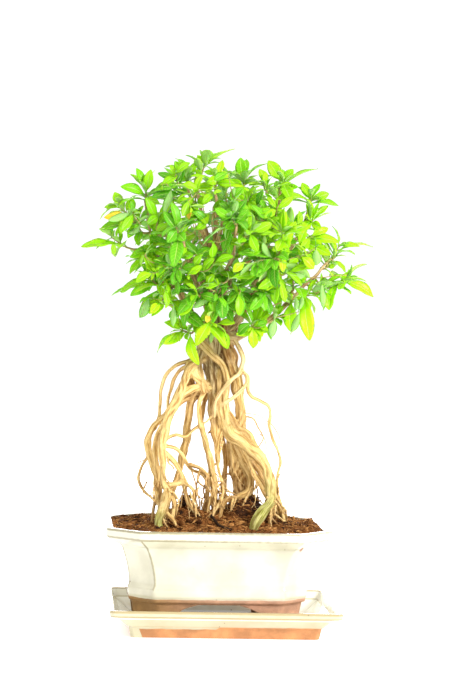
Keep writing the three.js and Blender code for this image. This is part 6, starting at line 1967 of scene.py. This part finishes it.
def tray_clay(graph, place):
    """Bare clay below the tray's wall, except where the glaze ran over the left corner of the foot."""
    along = graph.node("ShaderNodeSeparateXYZ", {0: place}).outputs
    across, height = along["X"], along["Z"]
    leaning = graph.math("SUBTRACT", across, graph.times(height, -0.5))
    bare = graph.math("MAXIMUM", graph.ramp(leaning, *RUN_EDGE), graph.ramp(along["Y"], *RUN_FRONT))
    corner = graph.times(bare, RUN_TO)
    step = graph.times(graph.ramp(across, *STEP_EDGE), STEP_RISE)
    waver = graph.times(graph.math("SUBTRACT", graph.noise(place, 70, 3), 0.5), 0.002)
    line = graph.math("ADD", graph.math("ADD", corner, step), waver)
    below = graph.ramp(graph.math("SUBTRACT", line, height), -LINE_SOFT, LINE_SOFT)
    return graph.times(below, graph.value_of("outer_face"))


# The pot's clay is painted darker and browner at its left corner, as painted shade.
pot.data.materials.append(ceramic(
    "cream_glazed_stoneware", pot_clay, 0.06,
    glaze=paint(0.72, 0.69, 0.53), thin_glaze=paint(0.3, 0.26, 0.14),
    clay=(out_of_painted_left_shade, paint(0.3, 0.165, 0.055), paint(0.6, 0.33, 0.21))))
# The tray's glaze is painted lighter inside than outside: painted light where the pot shades its inner wall.
tray.data.materials.append(ceramic(
    "cream_glazed_terracotta", tray_clay, 0.08,
    thin_glaze=paint(0.42, 0.32, 0.14), clay=paint(0.63, 0.283, 0.113),
    glaze=(outer_side, paint(0.92, 0.91, 0.78), paint(0.61, 0.56, 0.375))))
print("ceramic materials:", [piece.data.materials[0].name for piece in (pot, tray)])

# %% [markdown]
# ### Soil and litter
#
# Damp peat is nearly black in some patches and reddish brown where it is dry. Chips and fibres have a shade
# each.

# %% Damp soil
def soil_group():
    graph, given = shader_group(
        "damp_soil", {"Place": WAY, "Shade": NUMBER},
        {"Colour": COLOUR, "Roughness": NUMBER, "Height": NUMBER},
    )
    place = given["Place"]
    patches = graph.noise(place, 45, 4)
    grains = graph.noise(place, 480, 5, 0.7)
    mixed = graph.math("ADD", graph.times(patches, 0.7), graph.times(grains, 0.6))
    lighter = graph.times(graph.math("SUBTRACT", given["Shade"], 0.4), 0.9)
    mixed = graph.math("ADD", mixed, lighter)
    tones = graph.node("ShaderNodeValToRGB", {"Fac": mixed})
    stops = tones.color_ramp.elements
    stops[0].position, stops[0].color = 0.28, paint(0.022, 0.01, 0.006)
    stops[1].position, stops[1].color = 1.05, paint(0.62, 0.31, 0.1)
    for position, colour in ((0.52, paint(0.068, 0.023, 0.007)), (0.78, paint(0.25, 0.095, 0.025))):
        stops.new(position).color = colour
    rough = graph.ramp(mixed, 0.3, 0.8, 0.55, 0.9)
    graph.node("NodeGroupOutput", {"Colour": tones.outputs["Color"], "Roughness": rough, "Height": grains})
    return graph.tree


DAMP_SOIL = soil_group()


def soil_material(name):
    made, graph = material(name)
    inputs = {"Place": place_of(graph), "Shade": graph.value_of("shade")}
    group = graph.node("ShaderNodeGroup", inputs, node_tree=DAMP_SOIL)
    graph.dress(group.outputs, 0.0006, Specular_IOR_Level=0.08)
    return made


soil.data.materials.append(soil_material("peat_bed"))
litter.data.materials.append(soil_material("bark_litter"))
mesh_plastic, mesh_graph = material("drain_mesh_plastic")
grain = mesh_graph.noise(place_of(mesh_graph), 900, 3)
rough_plastic = mesh_graph.node("ShaderNodeBump", {"Height": grain, "Distance": 0.0001, "Strength": 1.0})
mesh_graph.show({"Base Color": paint(0.03, 0.03, 0.03), "Normal": rough_plastic.outputs[0]})
for node in ("drain_mesh_1", "drain_mesh_2"):
    frame["nodes"][node].data.materials.clear()
    frame["nodes"][node].data.materials.append(mesh_plastic)
print("soil materials:", soil.data.materials[0].name, litter.data.materials[0].name)

# %% [markdown]
# ### Bark
#
# The grain runs along each limb because it is read in the limb's own coordinates. Hollows are painted darker,
# as shade, ridges are paler, and fine dark lines cross the fat roots.

# %% Bark
def bark_group():
    graph, given = shader_group(
        "bark_along_limb", {"Grain": WAY, "Tint": COLOUR, "Hollow": NUMBER},
        {"Colour": COLOUR, "Roughness": NUMBER, "Height": NUMBER},
    )
    grain = given["Grain"]
    streaks = graph.noise(graph.stretched(grain, (1.1, 1.1, 0.09)), 1.0, 5, 0.62)
    fibres = graph.noise(graph.stretched(grain, (4.2, 4.2, 0.3)), 1.0, 4, 0.6)
    blotches = graph.noise(graph.stretched(grain, (0.22, 0.22, 0.1)), 1.0, 3)
    # Painted shade: the hollows of the flutes are darkened. The ridges are made paler.
    dark = graph.times(graph.ramp(given["Hollow"], 0.0, 0.9), 0.7)
    pale = graph.times(graph.ramp(given["Hollow"], -0.2, -1.0), 0.4)
    deep = graph.blend(1.0, given["Tint"], paint(0.34, 0.2, 0.09), "MULTIPLY")
    light = graph.blend(0.5, given["Tint"], paint(0.95, 0.77, 0.44))
    colour = graph.blend(graph.ramp(streaks, 0.38, 0.7), given["Tint"], light)
    colour = graph.blend(graph.times(graph.ramp(streaks, 0.5, 0.3), 0.65), colour, deep)
    colour = graph.blend(graph.times(graph.ramp(fibres, 0.55, 0.36), 0.38), colour, deep)
    colour = graph.blend(graph.times(graph.ramp(blotches, 0.5, 0.68), 0.4), colour, deep)
    colour = graph.blend(dark, colour, deep)
    colour = graph.blend(pale, colour, light)
    rough = graph.ramp(fibres, 0.3, 0.7, 0.5, 0.8)
    both = graph.math("ADD", streaks, graph.times(fibres, 0.6))
    graph.node("NodeGroupOutput", {"Colour": colour, "Roughness": rough, "Height": both})
    return graph.tree


BARK_ALONG_LIMB = bark_group()


def bark_material(name, relief, inputs_of):
    made, graph = material(name)
    group = graph.node("ShaderNodeGroup", inputs_of(graph), node_tree=BARK_ALONG_LIMB)
    graph.dress(group.outputs, relief, Specular_IOR_Level=0.1)
    return made


def along_limbs(graph):
    return {
        "Grain": graph.value_of("grain", "Vector"), "Tint": graph.value_of("bark_tint_and_painted_shade", "Color"),
        "Hollow": graph.value_of("hollow"),
    }


def on_thin_roots(graph):
    """Thin roots carry no grain of their own, so theirs is read from the place, in millimetres."""
    tint = graph.blend(graph.value_of("shade"), paint(0.82, 0.55, 0.2), paint(0.34, 0.16, 0.04))
    return {"Grain": graph.stretched(place_of(graph), (1 / MM,) * 3), "Tint": tint}


wood.data.materials.append(bark_material("root_and_trunk_bark", 0.0007, along_limbs))
thin_root_bark = bark_material("thin_root_bark", 0.0003, on_thin_roots)
for piece in (thin_roots, wire_twigs):
    piece.data.materials.append(thin_root_bark)
print("bark materials:", wood.data.materials[0].name, thin_roots.data.materials[0].name)

# %% [markdown]
# ### Leaves
#
# A leaf is glossy above and dull below. Its rib and side veins are paler, its shade is its own, and a few
# old leaves are yellow. The twig is brown.

# %% Leaves and twigs
def leaf_group():
    graph, given = shader_group(
        "leaf_blade", {"Young": COLOUR, "Grown": COLOUR},
        {"Colour": COLOUR, "Roughness": NUMBER, "Coat": NUMBER, "Height": NUMBER},
    )
    along, across = graph.value_of("blade_s"), graph.value_of("blade_c")
    edge = graph.math("ABSOLUTE", across)
    rib = graph.ramp(edge, 0.1, 0.02)
    slant = graph.math("SUBTRACT", along, graph.times(edge, 0.16))
    wave = graph.math("SINE", graph.times(slant, 62.0))
    vein = graph.times(graph.ramp(wave, 0.75, 1.0), graph.ramp(edge, 1.0, 0.5))
    shade = graph.ramp(graph.value_of("shade"), -1.0, 1.0)
    mottle = graph.noise(place_of(graph), 160, 3)
    mixed = graph.math("ADD", graph.times(shade, 0.75), graph.times(mottle, 0.35))
    colour = graph.blend(mixed, given["Grown"], given["Young"])
    colour = graph.blend(graph.times(vein, 0.3), colour, paint(0.5, 0.78, 0.05))
    colour = graph.blend(graph.times(rib, 0.6), colour, paint(0.62, 0.84, 0.18))
    # Undersides are paler; their grey green is partly painted sheen, standing in for white reflections on
    # glossy leaves.
    under = graph.value_of("under")
    colour = graph.blend(graph.times(under, 0.65), colour, paint(0.42, 0.62, 0.24))
    old = graph.ramp(graph.value_of("age"), 0.62, 0.95)
    colour = graph.blend(old, colour, paint(0.8, 0.5, 0.04))
    woody = graph.value_of("woody")
    stalk = graph.blend(graph.noise(place_of(graph), 260, 3), paint(0.42, 0.25, 0.1), paint(0.3, 0.34, 0.1))
    colour = graph.blend(woody, colour, stalk)
    dull = graph.math("MAXIMUM", graph.times(under, 0.3), graph.times(woody, 0.35))
    coat = graph.math("SUBTRACT", 0.1, graph.times(dull, 0.3), True)
    relief = graph.math("SUBTRACT", graph.times(mottle, 0.5), graph.times(vein, 0.5))
    relief = graph.math("SUBTRACT", relief, rib)
    rough = graph.math("ADD", 0.34, dull)
    graph.node("NodeGroupOutput", {"Colour": colour, "Roughness": rough, "Coat": coat, "Height": relief})
    return graph.tree


LEAF_BLADE = leaf_group()
LEAF_COLOURS = {
    "leaf_bright": (paint(0.46, 0.84, 0.012), paint(0.28, 0.67, 0.004)),
    "leaf_mid": (paint(0.34, 0.7, 0.008), paint(0.14, 0.46, 0.004)),
    "leaf_dark": (paint(0.19, 0.56, 0.012), paint(0.06, 0.29, 0.014)),
}


def leaf_material(tone):
    made, graph = material(tone + "_blade")
    young, grown = LEAF_COLOURS[tone]
    group = graph.node("ShaderNodeGroup", {"Young": young, "Grown": grown}, node_tree=LEAF_BLADE)
    graph.dress(
        group.outputs, 0.00035, Coat_Roughness=0.22, Specular_IOR_Level=0.1, Subsurface_Weight=0.3,
        Subsurface_Radius=(0.4, 1.0, 0.1), Subsurface_Scale=0.0012,
    )
    return made


leaf_materials = {tone: leaf_material(tone) for tone in LEAF_COLOURS}
for node, piece in leafy_twigs.items():
    piece.data.materials.append(leaf_materials[TONE_OF_SPRAY[node]])
for tone, piece in front_shoots.items():
    piece.data.materials.append(leaf_materials[tone])
print("leaf materials:", sorted(leaf_materials))

# %% [markdown]
# ## Light
#
# The photograph is bright all round: white surroundings, a white table that glows as painted light, and a
# wide soft light from the upper right in front, which leaves the pot's left corner a little darker, with
# painted shade on its clay and glaze adding to it. Colours go to the picture without any film look.

# %% Surroundings and lights
SURROUND = 0.62
SURROUND_SEEN = 1.1
TABLE_SIZE = 8000
TABLE_WHITE = 0.9
# The table glows as painted light that fills in most of the tray's shadow, less near the pot: between these
# distances, from the first glow to the second.
GLOW_EDGE = (0.11, 0.24)
TABLE_GLOW = (0.45, 0.75)
# Just under the tray, so that the two don't share a plane.
TABLE_DROP = 0.0002


def soft_light(name, place, aim, size, power):
    lamp = bpy.data.lights.new(name, "AREA")
    lamp.shape = "SQUARE"
    lamp.size = size
    lamp.energy = power
    light = bpy.data.objects.new(name, lamp)
    bpy.context.scene.collection.objects.link(light)
    away = unit(np.array(place) - np.array(aim))
    right = unit(np.cross(UP, away))
    turned = Matrix((right, np.cross(away, right), away)).transposed().to_4x4()
    turned.translation = place
    light.matrix_world = turned
    return light


world = bpy.data.worlds.new("white_surroundings")
world.use_nodes = True
sky = Graph(world.node_tree)
path = sky.node("ShaderNodeLightPath").outputs
mirrored = sky.math("MAXIMUM", path["Is Camera Ray"], path["Is Glossy Ray"])
strength = sky.math("ADD", SURROUND, sky.math("MULTIPLY", mirrored, SURROUND_SEEN - SURROUND))
surround = sky.node("ShaderNodeBackground", {"Color": paint(1.0, 1.0, 1.0), "Strength": strength})
sky.node("ShaderNodeOutputWorld", {"Surface": surround.outputs[0]})
bpy.context.scene.world = world
lights = [
    soft_light("key_upper_right", (1.2, -1.4, 1.2), (0, 0, 0.25), 0.7, 52),
    soft_light("fill_upper_left", (-1.3, -1.0, 1.4), (0, 0, 0.25), 1.0, 9),
    soft_light("glow_behind", (0.1, 1.7, 0.35), (0, 0, 0.1), 1.6, 22),
]
corners = np.array([(-1, -1, 0), (1, -1, 0), (1, 1, 0), (-1, 1, 0)]) * TABLE_SIZE / 2
table = mesh_piece("white_table", corners, [(0, 1, 2, 3)])
white, top = material("white_table_top")
away = top.node("ShaderNodeVectorMath", {0: place_of(top)}, operation="LENGTH").outputs["Value"]
top.show({
    "Base Color": paint(TABLE_WHITE, TABLE_WHITE, TABLE_WHITE), "Roughness": 0.6,
    "Emission Color": paint(1.0, 1.0, 1.0), "Emission Strength": top.ramp(away, *GLOW_EDGE, *TABLE_GLOW),
})
table.data.materials.append(white)
table.location.z = -TABLE_DROP
bpy.context.scene.view_settings.view_transform = "Standard"
print("lights:", [light.name for light in lights])
